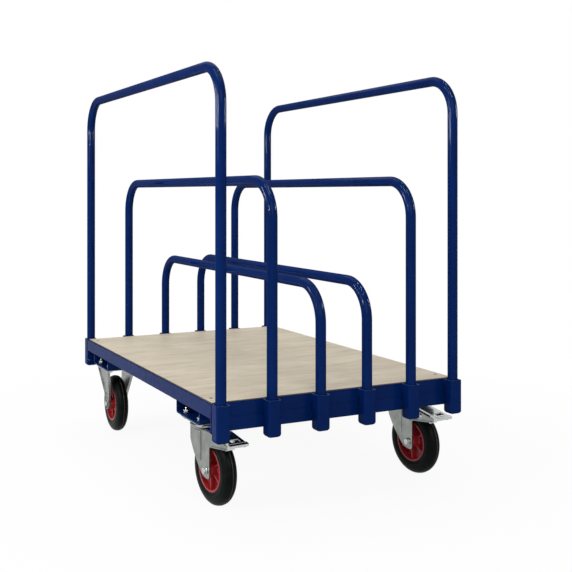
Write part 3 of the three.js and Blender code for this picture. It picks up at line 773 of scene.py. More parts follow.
# %% Roll the end rails
SEAM_DROP = 37 * MM
SEAM_WIDTH = 1.4 * MM
SEAM_DEPTH = 0.8 * MM
for end in ("front", "rear"):
    node = f"end_rail_{end}"
    low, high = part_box(node)
    height = high.z - low.z
    seam = height - SEAM_DROP
    outline = angle_outline(height, high.y - low.y, RAIL_WALL)
    outline += [
        (0, seam + SEAM_WIDTH / 2),
        (SEAM_DEPTH, seam + SEAM_WIDTH / 4),
        (SEAM_DEPTH, seam - SEAM_WIDTH / 4),
        (0, seam - SEAM_WIDTH / 2),
    ]
    points = [(low.x, low.y + u if end == "front" else high.y - u, low.z + v) for u, v in outline]
    rail = extruded(node + "_angle", points, (high.x - low.x, 0, 0))
    soften(rail, SEAM_DEPTH / 4)
    smooth(rail)
    settle(rail, "blue_paint", node)

# %% Fold the castor channels
CHANNEL_WALL = 4 * MM
CHANNEL_BEND = 4 * MM
CHANNEL_EDGE = 0.5 * MM


def along(edge, y, z):
    """True for a lengthways edge at one place of the section."""
    return all(abs(v.co.y - y) < MERGE and abs(v.co.z - z) < MERGE for v in edge.verts)


for end in ("front", "rear"):
    node = f"castor_channel_{end}"
    low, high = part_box(node)
    t = CHANNEL_WALL
    outline = [
        (low.y, high.z), (low.y, low.z), (high.y, low.z), (high.y, high.z),
        (high.y - t, high.z), (high.y - t, low.z + t), (low.y + t, low.z + t), (low.y + t, high.z),
    ]
    channel = extruded(node + "_sheet", [(low.x, y, z) for y, z in outline], (high.x - low.x, 0, 0))
    for inset, radius in ((0, CHANNEL_BEND + t), (t, CHANNEL_BEND)):
        edit(channel)
        corners = [(y, low.z + inset) for y in (low.y + inset, high.y - inset)]
        pick(channel, "EDGE", lambda edge: any(along(edge, *corner) for corner in corners))
        bpy.ops.mesh.bevel(offset=radius, segments=CORNER_STEPS, affect="EDGES")
        leave()
    soften(channel, CHANNEL_EDGE, angle=60)
    smooth(channel)
    settle(channel, "blue_paint", node)

for node in nodes:
    if node.startswith("deck_bearer"):
        dress(nodes[node], "blue_paint")

# %% [markdown]
# ## Deck
# The deck is one sheet of plywood that lies between the rails. It is a box with its edges just broken. Its
# top and its underside are veneer, and the faces that were cut show the plies in a dark colour that is painted
# shade. A countersunk screw near each corner holds it to the first and the last bearer.

# %% Lay the deck
DECK_EDGE = 0.8 * MM
SCREW_HOLE = 5.9 * MM
SCREW_HOLE_DEPTH = 3 * MM
SCREW_SIDE_INSET = 25 * MM
VENEER = 1 * MM
low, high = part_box("deck_panel")
deselect()
bpy.ops.mesh.primitive_cube_add(size=1, location=(low + high) / 2, scale=high - low)
deck = named("deck_plywood")
bpy.ops.object.transform_apply(location=True, rotation=True, scale=True)
soften(deck, DECK_EDGE)
dress(deck, "plywood", "plywood_edge_painted_shade")
screw_places = [
    shift(x, middle(bearer).y, high.z)
    for bearer in ("deck_bearer_1", "deck_bearer_4")
    for x in (cad_low.x + SCREW_SIDE_INSET, cad_high.x - SCREW_SIDE_INSET)
]
bore = [(0, -SCREW_HOLE_DEPTH), (SCREW_HOLE, -SCREW_HOLE_DEPTH), (SCREW_HOLE, SCREW_HOLE), (0, SCREW_HOLE)]
drill = turned("drill", bore, "Z", steps=28)
carve(deck, joined("drills", [copied(drill, "drill", spot) for spot in screw_places]), "DIFFERENCE")
bpy.data.objects.remove(drill)


def is_cut(face):
    level_at = face.calc_center_median().z
    return abs(face.normal.z) < LEVEL or low.z + VENEER < level_at < high.z - VENEER


# The cut faces and the screw holes take the dark edge finish, which is painted shade.
second_finish(deck, is_cut)
smooth(deck)
settle(deck, "plywood", "deck_panel")

# %% Drive the deck screws
SCREW_RADIUS = 5.2 * MM
SCREW_SINK = 0.5 * MM
SCREW_RECESS = 2.2 * MM
RECESS_FLOOR = SCREW_RECESS * 0.5
RECESS_FOOT = -SCREW_SINK - SCREW_RECESS * 0.8
HEAD_FLAT = SCREW_RADIUS * 0.9
HEAD_BREAK = -SCREW_SINK * 1.4
head_side = [
    (0, RECESS_FOOT), (RECESS_FLOOR, RECESS_FOOT), (SCREW_RECESS, -SCREW_SINK), (HEAD_FLAT, -SCREW_SINK),
    (SCREW_RADIUS, HEAD_BREAK), (SCREW_RADIUS, -SCREW_HOLE_DEPTH), (0, -SCREW_HOLE_DEPTH),
]
head = turned("screw_pattern", head_side, "Z", steps=24)
smooth(head, angle=30)
deck_screws = joined("deck_screws", [copied(head, "screw", spot) for spot in screw_places])
dress(deck_screws, "dark_steel")
settle(deck_screws, "zinc_plate", body="cart_frame")
bpy.data.objects.remove(head)

# %% [markdown]
# ## Wheels
# A wheel is a solid tyre on a moulded centre. Both are profiles that are spun round the axle. The tyre has
# a bead beside the rim, a groove in its side wall and a round tread, with a mould line between two grooves
# along its middle. The centre has a hub, a web and a rim. Six ribs on each face are then joined on with a
# Boolean modifier.

# %% Mould the tyre and the wheel centre
WHEEL_STEPS = 96


def mirrored(near_side):
    """A closed profile from the points on one side of the wheel."""
    return [(r * MM, x * MM) for r, x in near_side] + [(r * MM, -x * MM) for r, x in reversed(near_side)]


TYRE_SIDE = [
    (62.3, -20.0), (65.5, -20.6), (67.6, -20.6), (68.2, -19.8), (69.0, -19.8), (69.8, -20.9), (71.5, -21.4),
    (75.0, -21.5), (79.0, -20.9), (79.6, -20.1), (80.6, -20.0), (81.2, -20.3), (84.0, -19.7), (88.0, -18.4),
    (91.0, -16.9), (94.0, -14.9), (96.4, -12.4), (98.1, -9.5), (99.1, -6.6), (99.4, -4.8), (98.5, -4.2),
    (98.5, -2.4), (99.6, -1.7), (100.0, -1.3),
]
CENTRE_SIDE = [
    (10.6, -25.0), (18.6, -25.0), (20.0, -23.8), (21.2, -6.0), (23.6, -3.4), (26.0, -3.0), (50.0, -3.0),
    (52.6, -3.6), (54.6, -6.2), (56.0, -19.6), (57.0, -20.4), (60.6, -20.4), (62.0, -19.4),
]
FLASH_HALF = 1.5 * MM
RIB_COUNT = 6
RIB_TOP = 2.0 * MM
RIB_ROOT = 3.6 * MM
RIB_REACH = 15 * MM
RIB_FROM = 15 * MM
RIB_TO = 59 * MM
CENTRE_EDGE = 0.9 * MM

tyre = turned("tyre_pattern", mirrored(TYRE_SIDE), steps=WHEEL_STEPS)
dress(tyre, "black_rubber", "tyre_flash")
# The mould line takes the lighter rubber, which is partly a painted highlight.
second_finish(tyre, lambda face: all(abs(v.co.x) < FLASH_HALF for v in face.verts))
smooth(tyre, angle=34)
centre = turned("wheel_centre_pattern", mirrored(CENTRE_SIDE), steps=WHEEL_STEPS)
rib_section = [
    (-RIB_REACH, -RIB_TOP), (0, -RIB_ROOT), (RIB_REACH, -RIB_TOP),
    (RIB_REACH, RIB_TOP), (0, RIB_ROOT), (-RIB_REACH, RIB_TOP),
]
rib = extruded("rib_pattern", [(x, y, RIB_FROM) for x, y in rib_section], (0, 0, RIB_TO - RIB_FROM))
for i in range(RIB_COUNT):
    turn = Matrix.Rotation(2 * math.pi * i / RIB_COUNT, 4, "X")
    carve(centre, copied(rib, "rib", turn), "UNION")
bpy.data.objects.remove(rib)
soften(centre, CENTRE_EDGE, angle=38)
smooth(centre)
print("wheel centre", len(centre.data.polygons), "faces")

# %% [markdown]
# ## Bolts and nuts
# Hexagon heads and nuts are six-sided cylinders with their edges broken. A bolt's end has a thread, which is
# only a millimetre or two deep, so rings in the spun profile are enough.

# %% Make the hexagons and the threads
HEX_EDGE = 0.8 * MM
THREAD_DEPTH = 0.5 * MM
THREAD_PITCH = 1.5 * MM


def hexagon(name, across_flats, low, high, axis="Z"):
    """A hexagon head or nut between two places along an axis."""
    deselect()
    bpy.ops.mesh.primitive_cylinder_add(
        vertices=6, radius=across_flats / math.sqrt(3), depth=high - low, location=(0, 0, (low + high) / 2)
    )
    piece = named(name)
    bpy.ops.object.transform_apply(location=True)
    if axis == "X":
        place(piece, Matrix.Rotation(math.pi / 2, 4, "Y"))
    soften(piece, HEX_EDGE)
    return piece


def threaded_end(name, radius, low, high, axis="Z"):
    """The end of a bolt, from low to high, with rings for its thread."""
    step = math.copysign(THREAD_PITCH / 2, high - low)
    count = int(abs(high - low) / THREAD_PITCH) * 2
    profile = [(0, low)]
    profile += [(radius - (i % 2) * THREAD_DEPTH, low + i * step) for i in range(count)]
    profile += [(radius - 2 * THREAD_DEPTH, high), (0, high)]
    return turned(name, profile, axis, steps=24)


def disc(name, bore, radius, low, high, axis="Z"):
    """A washer with its outer edges broken."""
    lip = (high - low) / 4
    flat = radius - abs(lip)
    outer = [(flat, low), (radius, low + lip), (radius, high - lip), (flat, high)]
    profile = [(bore, low), *outer, (bore, high)]
    return turned(name, profile, axis, steps=40)


# %% Make the axle bolt
AXLE_RADIUS = 6 * MM
AXLE_HEX = 17 * MM
FORK_HALF = 31 * MM
SEAT_GAP = 0.3 * MM
AXLE_SEAT = FORK_HALF + SEAT_GAP
AXLE_HEAD = 8 * MM
AXLE_NUT = 10 * MM
AXLE_END = 4 * MM
FLANGE_RADIUS = 10.8 * MM
FLANGE = 1.6 * MM
axle = joined("axle_pattern", [
    hexagon("head", AXLE_HEX, -AXLE_SEAT - AXLE_HEAD, -AXLE_SEAT - FLANGE / 2, "X"),
    disc("head_flange", AXLE_RADIUS, FLANGE_RADIUS, -AXLE_SEAT - FLANGE, -AXLE_SEAT, "X"),
    hexagon("nut", AXLE_HEX, AXLE_SEAT + FLANGE / 2, AXLE_SEAT + AXLE_NUT, "X"),
    disc("nut_flange", AXLE_RADIUS, FLANGE_RADIUS, AXLE_SEAT, AXLE_SEAT + FLANGE, "X"),
    threaded_end("shank", AXLE_RADIUS, -AXLE_SEAT, AXLE_SEAT + AXLE_NUT + AXLE_END, "X"),
])
smooth(axle, angle=30)
print("axle", len(axle.data.polygons), "faces")

# %% [markdown]
# ## Swivel castors
# The front castors turn under their plates. The fork is one pressing: a strip folded to a U with round
# shoulders, trimmed to a side view that carries the axle and two arms for the brake pedal. By hand the U is
# extruded, its shoulders are bevelled, and a Boolean keeps what it shares with the side view and the plan.
# All castor pieces are drawn round the top of the mounting plate, with the wheel trailing to the front, and
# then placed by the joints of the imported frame.

# %% Find the castors
wheel_joint = joints["front_left_wheel_roll"]
swivel_joint = joints["front_left_swivel_turn"]
plate_top = Vector(swivel_joint["pos_m"])
wheel_place = Vector(wheel_joint["pos_m"])
AXLE_DROP = plate_top.z - wheel_place.z
TRAIL = (wheel_place - plate_top).to_2d().length
SWIVEL_TURN = math.atan2(wheel_joint["axis"][1], wheel_joint["axis"][0])


def castor_place(name):
    """Where a castor stands: the top of its plate, turned as it was left."""
    if name.startswith("front"):
        spot = shift(*joints[name + "_swivel_turn"]["pos_m"])
        return spot @ Matrix.Rotation(SWIVEL_TURN, 4, "Z")
    return shift(*joints[name + "_wheel_roll"]["pos_m"]) @ shift(0, 0, AXLE_DROP)


def side_view(points, x):
    """Points of a castor's side view, forward and up, on an upright plane."""
    return [(x, -forward, up) for forward, up in points]


print("castor height", round(plate_top.z, 3), "trail", round(TRAIL, 3))

# %% Press the fork
FORK_WALL = 4 * MM
FORK_SHOULDER = 10 * MM
FORK_EDGE = 0.9 * MM
FOLD_STEPS = 8
PLAN_MARGIN = 1 * MM
CROWN_TOP = -22.3 * MM
CROWN_REACH = 53 * MM
CROWN_NOSE = 48 * MM
CROWN_CORNER = 20 * MM
CROWN_SKIRT = 6 * MM
hinge = Vector(joints["front_left_pedal_press"]["pos_m"]) - plate_top
HINGE = (hinge.to_2d().length, hinge.z)
AXLE = (TRAIL, -AXLE_DROP)
HEEL = (AXLE[0] - 25 * MM, AXLE[1] - 12 * MM)
BELLY = (15 * MM - CROWN_REACH, AXLE[1] + 46 * MM)
SOLE = AXLE[1] - 22 * MM
LEG_FRONT = AXLE[0] + 20 * MM
TOE = 11 * MM
ARM_LENGTH = 55 * MM
ARM_RISE = 9.5 * MM
ARM_BOTTOM = HINGE[1] - 21 * MM
ARM_TIP = (HINGE[0] + ARM_LENGTH, HINGE[1] - 11 * MM)
ARM_FILLET = 10 * MM
ARM_CORNER = 5 * MM


def fork_side():
    """The side view of the fork: crown, full rear edge, heel and toe, and the arm to the pedal."""
    rear = bow((-CROWN_REACH, CROWN_TOP - CROWN_SKIRT), BELLY, HEEL, steps=16)
    foot = bow(HEEL, ((HEEL[0] + AXLE[0]) / 2, SOLE), (LEG_FRONT - TOE, SOLE), steps=10)
    toe = bow(foot[-1], (LEG_FRONT, SOLE), (LEG_FRONT, SOLE + TOE), steps=6)
    armpit = (LEG_FRONT, ARM_BOTTOM)
    root = bow((LEG_FRONT, ARM_BOTTOM - ARM_FILLET), armpit, (LEG_FRONT + ARM_FILLET, ARM_BOTTOM), steps=6)
    before = (ARM_TIP[0] - ARM_CORNER, ARM_TIP[1])
    corner = bow(before, ARM_TIP, (ARM_TIP[0], ARM_TIP[1] + ARM_CORNER), steps=5)
    top = [(ARM_TIP[0], HINGE[1]), (HINGE[0], HINGE[1] + ARM_RISE), (CROWN_NOSE, CROWN_TOP)]
    return [(-CROWN_REACH, CROWN_TOP)] + rear + foot[1:] + toe[1:] + root + corner + top


def round_fold(piece, x, z, radius):
    """Rounds the two lengthways edges of a U at plus and minus x."""
    edit(piece)

    def at_fold(edge):
        ends = [v.co for v in edge.verts]
        return all(abs(abs(p.x) - x) < MERGE and abs(p.z - z) < MERGE for p in ends)

    pick(piece, "EDGE", at_fold)
    bpy.ops.mesh.bevel(offset=radius, segments=FOLD_STEPS, affect="EDGES")
    leave()


FAR = 250 * MM
inner = FORK_HALF - FORK_WALL
u_section = [
    (FORK_HALF, -FAR), (FORK_HALF, CROWN_TOP), (-FORK_HALF, CROWN_TOP), (-FORK_HALF, -FAR),
    (-inner, -FAR), (-inner, CROWN_TOP - FORK_WALL), (inner, CROWN_TOP - FORK_WALL), (inner, -FAR),
]
fork = extruded("fork_pattern", [(x, -FAR, z) for x, z in u_section], (0, 2 * FAR, 0))
round_fold(fork, FORK_HALF, CROWN_TOP, FORK_SHOULDER)
round_fold(fork, inner, CROWN_TOP - FORK_WALL, FORK_SHOULDER - FORK_WALL)
side_cut = extruded("side", side_view(fork_side(), -2 * FORK_HALF), (4 * FORK_HALF, 0, 0))
carve(fork, side_cut, "INTERSECT")
plan_half = FORK_HALF + PLAN_MARGIN
corner_x = plan_half - CROWN_CORNER
corner_y = CROWN_REACH - CROWN_CORNER
plan = [(plan_half, -FAR)]
plan += arc((corner_x, corner_y), CROWN_CORNER, 0, 90, steps=10)
plan += arc((-corner_x, corner_y), CROWN_CORNER, 90, 180, steps=10)
plan += [(-plan_half, -FAR)]
carve(fork, extruded("plan", [(x, y, -FAR) for x, y in plan], (0, 0, 2 * FAR)), "INTERSECT")

# %% Emboss the fork
EMBOSS_HEIGHT = 2.5 * MM
EMBOSS_ROUND = 2.0 * MM
EMBOSS_CORNER = 5 * MM
BAND_SIDE = [(-13, -31), (-13, -91), (6, -115), (23, -115), (23, -31)]
band = [(forward * MM, up * MM) for forward, up in BAND_SIDE]
sink = FORK_WALL / 2
for side in (-1, 1):
    outer = side * (FORK_HALF + EMBOSS_HEIGHT)
    emboss = drawn("emboss", side_view(band, side * (FORK_HALF - sink)))
    edit(emboss)
    bpy.ops.mesh.bevel(offset=EMBOSS_CORNER, segments=5, affect="VERTICES")
    bpy.ops.mesh.select_all(action="SELECT")
    push((side * (sink + EMBOSS_HEIGHT), 0, 0))
    bpy.ops.mesh.select_all(action="SELECT")
    bpy.ops.mesh.normals_make_consistent(inside=False)
    pick(emboss, "FACE", lambda face: abs(face.calc_center_median().x - outer) < MERGE)
    bpy.ops.mesh.bevel(offset=EMBOSS_ROUND, segments=4, affect="EDGES")
    leave()
    carve(fork, emboss, "UNION")

# %% Turn out the edge of the arms
LIP_OUT = 3.5 * MM
LIP_HEIGHT = 3.0 * MM
lip_from = (LEG_FRONT + ARM_FILLET, ARM_BOTTOM)
lip_to = (ARM_TIP[0] - ARM_CORNER, ARM_TIP[1])
strip = [lip_from, lip_to, (lip_to[0], lip_to[1] + LIP_HEIGHT), (lip_from[0], lip_from[1] + LIP_HEIGHT)]
for side in (-1, 1):
    lip = extruded("lip", side_view(strip, side * inner), (side * (FORK_WALL + LIP_OUT), 0, 0))
    carve(fork, lip, "UNION")
soften(fork, FORK_EDGE)
smooth(fork)
print("fork", len(fork.data.polygons), "faces")

# %% Cut the plate and turn the ball race
PLATE_WIDTH = 110 * MM
PLATE_LENGTH = 135 * MM
PLATE_THICKNESS = 5 * MM
PLATE_CORNER = 10 * MM
PLATE_EDGE = 0.8 * MM
deselect()
bpy.ops.mesh.primitive_plane_add(size=1)
plate = named("plate_pattern")
place(plate, Matrix.Diagonal((PLATE_WIDTH, PLATE_LENGTH, 1, 1)))
edit(plate)
bpy.ops.mesh.bevel(offset=PLATE_CORNER, segments=CORNER_STEPS, affect="VERTICES")
bpy.ops.mesh.select_all(action="SELECT")
push((0, 0, -PLATE_THICKNESS))
leave()
tidy(plate)
soften(plate, PLATE_EDGE, angle=60)
smooth(plate)
RACE_SIDE = [
    (9.0, -5.0), (43.5, -5.0), (45.0, -6.0), (45.0, -10.8), (43.6, -12.2), (41.0, -12.6), (41.0, -13.6),
    (44.4, -14.0), (46.6, -15.2), (47.2, -17.0), (47.0, -19.4), (45.6, -21.2), (43.0, -22.0), (9.0, -22.0),
]
race = turned("ball_race_pattern", [(r * MM, z * MM) for r, z in RACE_SIDE], "Z", steps=WHEEL_STEPS)
smooth(race, angle=30)
print("plate", len(plate.data.polygons), "faces, race", len(race.data.polygons))

# %% [markdown]
# ## Brake pedals
# The pedal is a folded plate between the arms of the fork. It turns on a pin, has a window near its tip and a
# turned-down lip, and carries the shoe that presses on the tyre.

# %% Fold the pedal
PEDAL_SHEET = 3 * MM
PEDAL_HALF = 25.5 * MM
PEDAL_TIP_HALF = 30 * MM
PEDAL_REAR = (HINGE[0] - 14 * MM, HINGE[1] + 20 * MM)
PEDAL_WIDE = (HINGE[0] + ARM_LENGTH + 5 * MM, HINGE[1] + 7 * MM)
PEDAL_TIP = (PEDAL_WIDE[0] + 14 * MM, PEDAL_WIDE[1] - 3 * MM)
PEDAL_LIP = 6.5 * MM
PEDAL_EDGE = 0.7 * MM
TIP_CORNER = 2 * MM
EAR_RADIUS = 8 * MM
EAR_FROM = 180
EAR_TO = 324
EAR_FRONT = PEDAL_WIDE[0] - 12 * MM
SHOE_RADIUS = 108.2 * MM
SHOE_HALF = 15 * MM
SHOE_FROM = 9
SHOE_TO = 17
WINDOW_HALF = 15 * MM
WINDOW_LENGTH = 18 * MM
WINDOW_GAP = 4.5 * MM


def on_sheet(forward):
    """The middle of the pedal's sloping sheet."""
    share = (forward - PEDAL_REAR[0]) / (PEDAL_WIDE[0] - PEDAL_REAR[0])
    return (forward, PEDAL_REAR[1] + share * (PEDAL_WIDE[1] - PEDAL_REAR[1]) - PEDAL_SHEET / 2)


def across_fork(name, points, half):
    """A piece of the pedal that reaches equally to both sides."""
    return extruded(name, side_view(points, -half), (2 * half, 0, 0))


def lowered(point, drop):
    return (point[0], point[1] - drop)


treadle_front = (PEDAL_WIDE[0] + PEDAL_SHEET, PEDAL_WIDE[1])
pedal = across_fork(
    "pedal_pattern",
    [lowered(PEDAL_REAR, PEDAL_SHEET), lowered(treadle_front, PEDAL_SHEET), treadle_front, PEDAL_REAR],
    PEDAL_HALF,
)
fold = (PEDAL_TIP[0] - PEDAL_SHEET, PEDAL_TIP[1])
lip = across_fork(
    "lip",
    [
        lowered(PEDAL_WIDE, PEDAL_SHEET), lowered(fold, PEDAL_SHEET), lowered(fold, PEDAL_LIP),
        lowered(PEDAL_TIP, PEDAL_LIP), PEDAL_TIP, PEDAL_WIDE,
    ],
    PEDAL_TIP_HALF,
)
edit(lip)


def upright_corner(edge):
    """The four upright corners of the wide tip, seen from above."""
    start, end = [v.co for v in edge.verts]
    upright = abs(start.x - end.x) < MERGE
    places = (PEDAL_WIDE[0], PEDAL_TIP[0])
    return upright and any(abs(start.y + y) < MERGE and abs(end.y + y) < MERGE for y in places)


pick(lip, "EDGE", upright_corner)
bpy.ops.mesh.bevel(offset=TIP_CORNER, segments=4, affect="EDGES")
leave()
carve(pedal, lip, "UNION")
round_ear = arc(HINGE, EAR_RADIUS, EAR_FROM, EAR_TO, steps=10)
ear = [on_sheet(PEDAL_REAR[0]), *round_ear, on_sheet(EAR_FRONT)]
for side in (-1, 1):
    start = side * (PEDAL_HALF - PEDAL_SHEET)
    carve(pedal, extruded("ear", side_view(ear, start), (side * PEDAL_SHEET, 0, 0)), "UNION")
hinge_turn = math.degrees(math.atan2(HINGE[1] - AXLE[1], HINGE[0] - AXLE[0]))
face = arc(AXLE, SHOE_RADIUS, hinge_turn - SHOE_FROM, hinge_turn - SHOE_TO, steps=6)
shoe = [on_sheet(face[0][0])] + face + [on_sheet(face[-1][0])]
carve(pedal, across_fork("shoe", shoe, SHOE_HALF), "UNION")
window_front = PEDAL_WIDE[0] - WINDOW_GAP
window_rear = window_front - WINDOW_LENGTH
window = [
    (WINDOW_HALF, -window_front), (WINDOW_HALF, -window_rear),
    (-WINDOW_HALF, -window_rear), (-WINDOW_HALF, -window_front),
]
opening = extruded("window", [(x, y, -FAR) for x, y in window], (0, 0, 2 * FAR))
carve(pedal, opening, "DIFFERENCE")
soften(pedal, PEDAL_EDGE)
smooth(pedal)
PIN_SIDE = [(0, 2.0), (2.6, 1.9), (4.6, 1.3), (6.0, 0.3), (6.0, 0.0), (4.0, 0.0)]
half_pin = [(r * MM, -FORK_HALF - SEAT_GAP - x * MM) for r, x in PIN_SIDE]
pin = turned("pin_pattern", half_pin + [(r, -x) for r, x in reversed(half_pin)], steps=28)
smooth(pin)
print("pedal", len(pedal.data.polygons), "faces")

# %% [markdown]
# ## Fixed castors
# The rear castors can't turn. Their legs are pressed with a splay, so that they stand wide under the plate
# and close at the axle, and the edge of each leg is turned out all round for stiffness.

# %% Press the fixed bracket
BRACKET_SPLAY = 14 * MM
BRACKET_REACH = 60 * MM
BRACKET_SHOULDER = -PLATE_THICKNESS - 10 * MM
BRACKET_KNEE = 35 * MM - AXLE_DROP
BRACKET_FLANGE = 5 * MM
FLANGE_SHEET = 3 * MM
BRACKET_FOOT = 20 * MM
BRACKET_EDGE = 0.7 * MM
FOOT_FROM = 160
FOOT_TO = 380
HUB = (0, -AXLE_DROP)


def leg_section(outside, thickness):
    """The leg seen from the front: upright at the axle, splayed to the plate."""
    wide = outside + BRACKET_SPLAY
    top = -PLATE_THICKNESS / 2
    near = [(outside, -FAR), (outside, BRACKET_KNEE), (wide, BRACKET_SHOULDER), (wide, top)]
    return near + [(x - thickness, z) for x, z in reversed(near)]


def leg_side(shrink):
    """The leg's side view: wide at the plate, tangent to the round foot."""
    reach = BRACKET_REACH - shrink
    foot = arc(HUB, BRACKET_FOOT - shrink, FOOT_FROM, FOOT_TO, steps=20)
    return [(reach, 0), (-reach, 0), (-reach, BRACKET_SHOULDER)] + foot + [(reach, BRACKET_SHOULDER)]


def cut_leg(outside, thickness, shrink):
    leg = extruded("leg", [(x, -FAR, z) for x, z in leg_section(outside, thickness)], (0, 2 * FAR, 0))
    carve(leg, extruded("side", side_view(leg_side(shrink), -FAR), (2 * FAR, 0, 0)), "INTERSECT")
    return leg


bracket = copied(plate, "bracket_pattern", Matrix.Identity(4))
leg = cut_leg(FORK_HALF, FORK_WALL, 0)
rim = cut_leg(FORK_HALF + BRACKET_FLANGE, BRACKET_FLANGE + FORK_WALL / 2, 0)
carve(rim, extruded("hollow", side_view(leg_side(FLANGE_SHEET), -FAR), (2 * FAR, 0, 0)), "DIFFERENCE")
carve(leg, rim, "UNION")
carve(bracket, copied(leg, "other_leg", Matrix.Rotation(math.pi, 4, "Z")), "UNION")
carve(bracket, leg, "UNION")
soften(bracket, BRACKET_EDGE)
smooth(bracket)
print("bracket", len(bracket.data.polygons), "faces")

# %% [markdown]
# ## Castor bolts
# Four bolts hold each castor's plate to its channel. Their heads are under the plate and their nuts stand in
# the channel, where the open ends show them.

# %% Bolt the plates
BOLT_SPACING = (80 * MM, 105 * MM)
BOLT_RADIUS = 5 * MM
BOLT_HEX = 17 * MM
BOLT_HEAD = 6.4 * MM
BOLT_NUT = 8 * MM
BOLT_END = 7 * MM
WASHER_RADIUS = 10 * MM
WASHER = 2 * MM
floor_top = CHANNEL_WALL
nut_from = floor_top + WASHER
bolt = joined("bolt_pattern", [
    hexagon("head", BOLT_HEX, -PLATE_THICKNESS - BOLT_HEAD, -PLATE_THICKNESS),
    disc("washer", BOLT_RADIUS, WASHER_RADIUS, floor_top, nut_from),
    hexagon("nut", BOLT_HEX, nut_from, nut_from + BOLT_NUT),
    threaded_end("shank", BOLT_RADIUS, -PLATE_THICKNESS, nut_from + BOLT_NUT + BOLT_END),
])
smooth(bolt, angle=30)
print("bolt", len(bolt.data.polygons), "faces")

# %% Set the castors in place
axle_spot = {"front": shift(0, -TRAIL, -AXLE_DROP), "rear": shift(0, 0, -AXLE_DROP)}
hinge_spot = shift(0, -HINGE[0], HINGE[1])
half_x, half_y = (spacing / 2 for spacing in BOLT_SPACING)
bolt_spots = [shift(x, y, 0) for x in (-half_x, half_x) for y in (-half_y, half_y)]
# The small parts take the brighter zinc, whose colour is a painted reflection.
for pattern in (axle, pedal, pin, bolt):
    dress(pattern, "zinc_with_painted_sheen")
for name in ("front_left", "front_right", "rear_left", "rear_right"):
    spot = castor_place(name)
    axle_at = spot @ axle_spot[name.split("_")[0]]
    upright = shift(*spot.translation)
    settle(copied(tyre, name + "_tyre_rubber", axle_at), "black_rubber", name + "_tyre")
    settle(copied(centre, name + "_wheel_moulding", axle_at), "red_plastic", name + "_wheel_centre")
    settle(copied(axle, name + "_axle", axle_at), "zinc_plate", name + "_axle_bolt")
    bolts = [copied(bolt, "bolt", upright @ bolt_spot) for bolt_spot in bolt_spots]
    settle(joined(name + "_plate_bolts", bolts), "zinc_plate", body="cart_frame")
    shown = ["axle_tube"]
    if name.startswith("front"):
        settle(copied(fork, name + "_fork_pressing", spot), "zinc_plate", name + "_fork")
        settle(copied(pedal, name + "_pedal_plate", spot), "zinc_plate", name + "_brake_pedal")
        settle(copied(pin, name + "_pedal_rivet", spot @ hinge_spot), "zinc_plate", name + "_pedal_pin")
        settle(copied(plate, name + "_mounting_plate", upright), "zinc_plate", name + "_top_plate")
        settle(copied(race, name + "_race_rings", upright), "zinc_plate", name + "_ball_race")
        shown.append("kingpin")
    else:
        settle(copied(bracket, name + "_bracket_pressing", spot), "zinc_plate", name + "_bracket")
    for part in shown:
        dress(nodes[f"{name}_{part}"], "zinc_plate")
for pattern in (tyre, centre, axle, fork, pedal, pin, plate, race, bracket, bolt):
    bpy.data.objects.remove(pattern)

# %% [markdown]
# ## Light and floor
# The photograph is a product picture on white: soft light from above, from the left and from the front, and a
# background without a horizon. The floor and the world are white to the camera and in reflections, and light
# the cart only at a plain level, so the colours render as they are written. The lines of light on the bends
# come from narrow lamps. Light linking lets only the painted pieces see them, and only in their gloss.

# %% Studio
FLOOR_SIZE = 24.0
FLOOR_WHITE = (0.72, 0.72, 0.72, 1)
WORLD_LIGHT = 0.40
SHADOW_SHARE = 0.07
SHADOW_NEAR = 0.7
SHADOW_FAR = 1.8


def white_share(tree):
    """One for a ray from the camera, in a reflection or through glass."""
    rays = add_node(tree, "ShaderNodeLightPath").outputs
    share = rays["Is Camera Ray"]
    for other in ("Is Glossy Ray", "Is Transmission Ray"):
        share = add_node(tree, "ShaderNodeMath", {0: share, 1: rays[other]}, operation="MAXIMUM").outputs[0]
    return share


world = bpy.data.worlds.new("white_room")
world.use_nodes = True
scene.world = world
tree = world.node_tree
strength = scaled(tree, white_share(tree), WORLD_LIGHT, 1.0)
tree.links.new(strength, tree.nodes["Background"].inputs["Strength"])
tree.nodes["Background"].inputs["Color"].default_value = (1, 1, 1, 1)

deselect()
bpy.ops.mesh.primitive_plane_add(size=FLOOR_SIZE)
floor = named("studio_floor")
material, tree, shader = new_finish("studio_floor")
shader.inputs["Base Color"].default_value = FLOOR_WHITE
shader.inputs["Roughness"].default_value = 1.0
shader.inputs[GLOSS].default_value = 0.0
glow = add_node(tree, "ShaderNodeEmission", {"Strength": 1.0})
blend = add_node(tree, "ShaderNodeMixShader")
away = add_node(tree, "ShaderNodeVectorMath", operation="LENGTH")
tree.links.new(add_node(tree, "ShaderNodeTexCoord").outputs["Object"], away.inputs[0])
ring = {"Value": away.outputs["Value"], "From Min": SHADOW_NEAR, "From Max": SHADOW_FAR}
fade = add_node(tree, "ShaderNodeMapRange", {**ring, "To Min": 1 - SHADOW_SHARE, "To Max": 1.0})
shares = {0: white_share(tree), 1: fade.outputs["Result"]}
lit = add_node(tree, "ShaderNodeMath", shares, operation="MULTIPLY")
tree.links.new(lit.outputs[0], blend.inputs["Fac"])
tree.links.new(shader.outputs["BSDF"], blend.inputs[1])
tree.links.new(glow.outputs["Emission"], blend.inputs[2])
tree.links.new(blend.outputs["Shader"], tree.nodes["Material Output"].inputs["Surface"])
floor.data.materials.append(material)
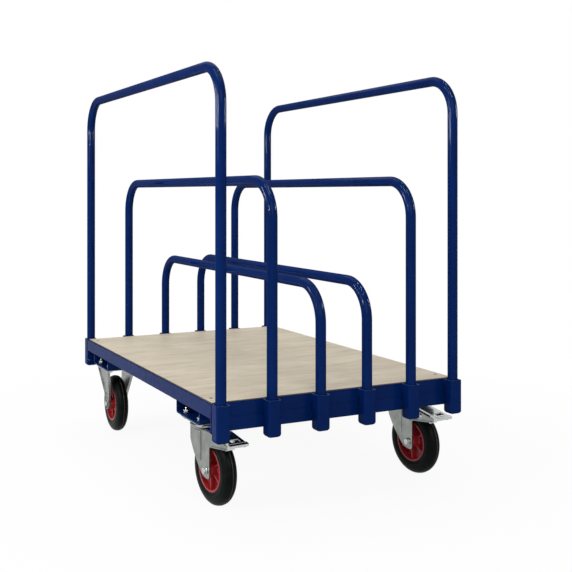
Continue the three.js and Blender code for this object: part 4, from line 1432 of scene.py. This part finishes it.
floor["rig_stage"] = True
print("floor", FLOOR_SIZE, "m")


# %% Lamps
def softbox(name, place_at, aim, size, power):
    """A square lamp that faces a point."""
    turn = (Vector(aim) - Vector(place_at)).to_track_quat("-Z", "Y").to_euler()
    bpy.ops.object.light_add(type="AREA", location=place_at, rotation=turn)
    lamp = bpy.context.object
    lamp.name = name
    lamp.data.size = size
    lamp.data.energy = power
    lamp.visible_camera = False
    print(name, power, "W")
    return lamp


softbox("overhead_softbox", (0.2, 1.5, 3.0), aim=(0.1, 0.5, 0.3), size=2.4, power=52)
softbox("left_softbox", (-3.2, -0.5, 1.9), aim=(0, 0, 0.5), size=1.8, power=72)
softbox("front_softbox", (-1.0, -3.8, 2.4), aim=(0, 0, 0.4), size=2.0, power=60)

# %% Lines of light on the paint
HOOP_SHOULDER = (-0.4, -0.6, 1.2)
painted = bpy.data.collections.new("painted_pieces")
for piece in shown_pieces():
    if finish["blue_paint"] in list(piece.data.materials):
        painted.objects.link(piece)


def gloss_strip(name, place_at, aim, width, height, power):
    """A narrow lamp that shows in the gloss of the paint alone, as a line of light on the tubes."""
    lamp = softbox(name, place_at, aim, width, power)
    lamp.data.shape = "RECTANGLE"
    lamp.data.size_y = height
    lamp.visible_diffuse = False
    lamp.light_linking.receiver_collection = painted


gloss_strip("gloss_edge", (-1.65, 0.4, 1.38), HOOP_SHOULDER, width=0.55, height=0.44, power=52)
gloss_strip("gloss_left", (-2.0, -0.8, 1.38), HOOP_SHOULDER, width=0.42, height=0.44, power=70)
gloss_strip("gloss_right", (1.7, -1.3, 1.45), HOOP_SHOULDER, width=0.40, height=0.46, power=60)
gloss_strip("gloss_over_right", (0.7, -1.2, 3.2), (0.7, -1.2, 0), width=0.09, height=2.4, power=90)
gloss_strip("gloss_low", (-0.83, 1.25, 0.02), (-0.83, 1.25, 1), width=0.34, height=2.6, power=6.5)
gloss_strip("gloss_over_left", (-0.9, -1.0, 3.2), (-0.9, -1.0, 0), width=0.09, height=2.0, power=70)
scene.view_settings.view_transform = "Standard"
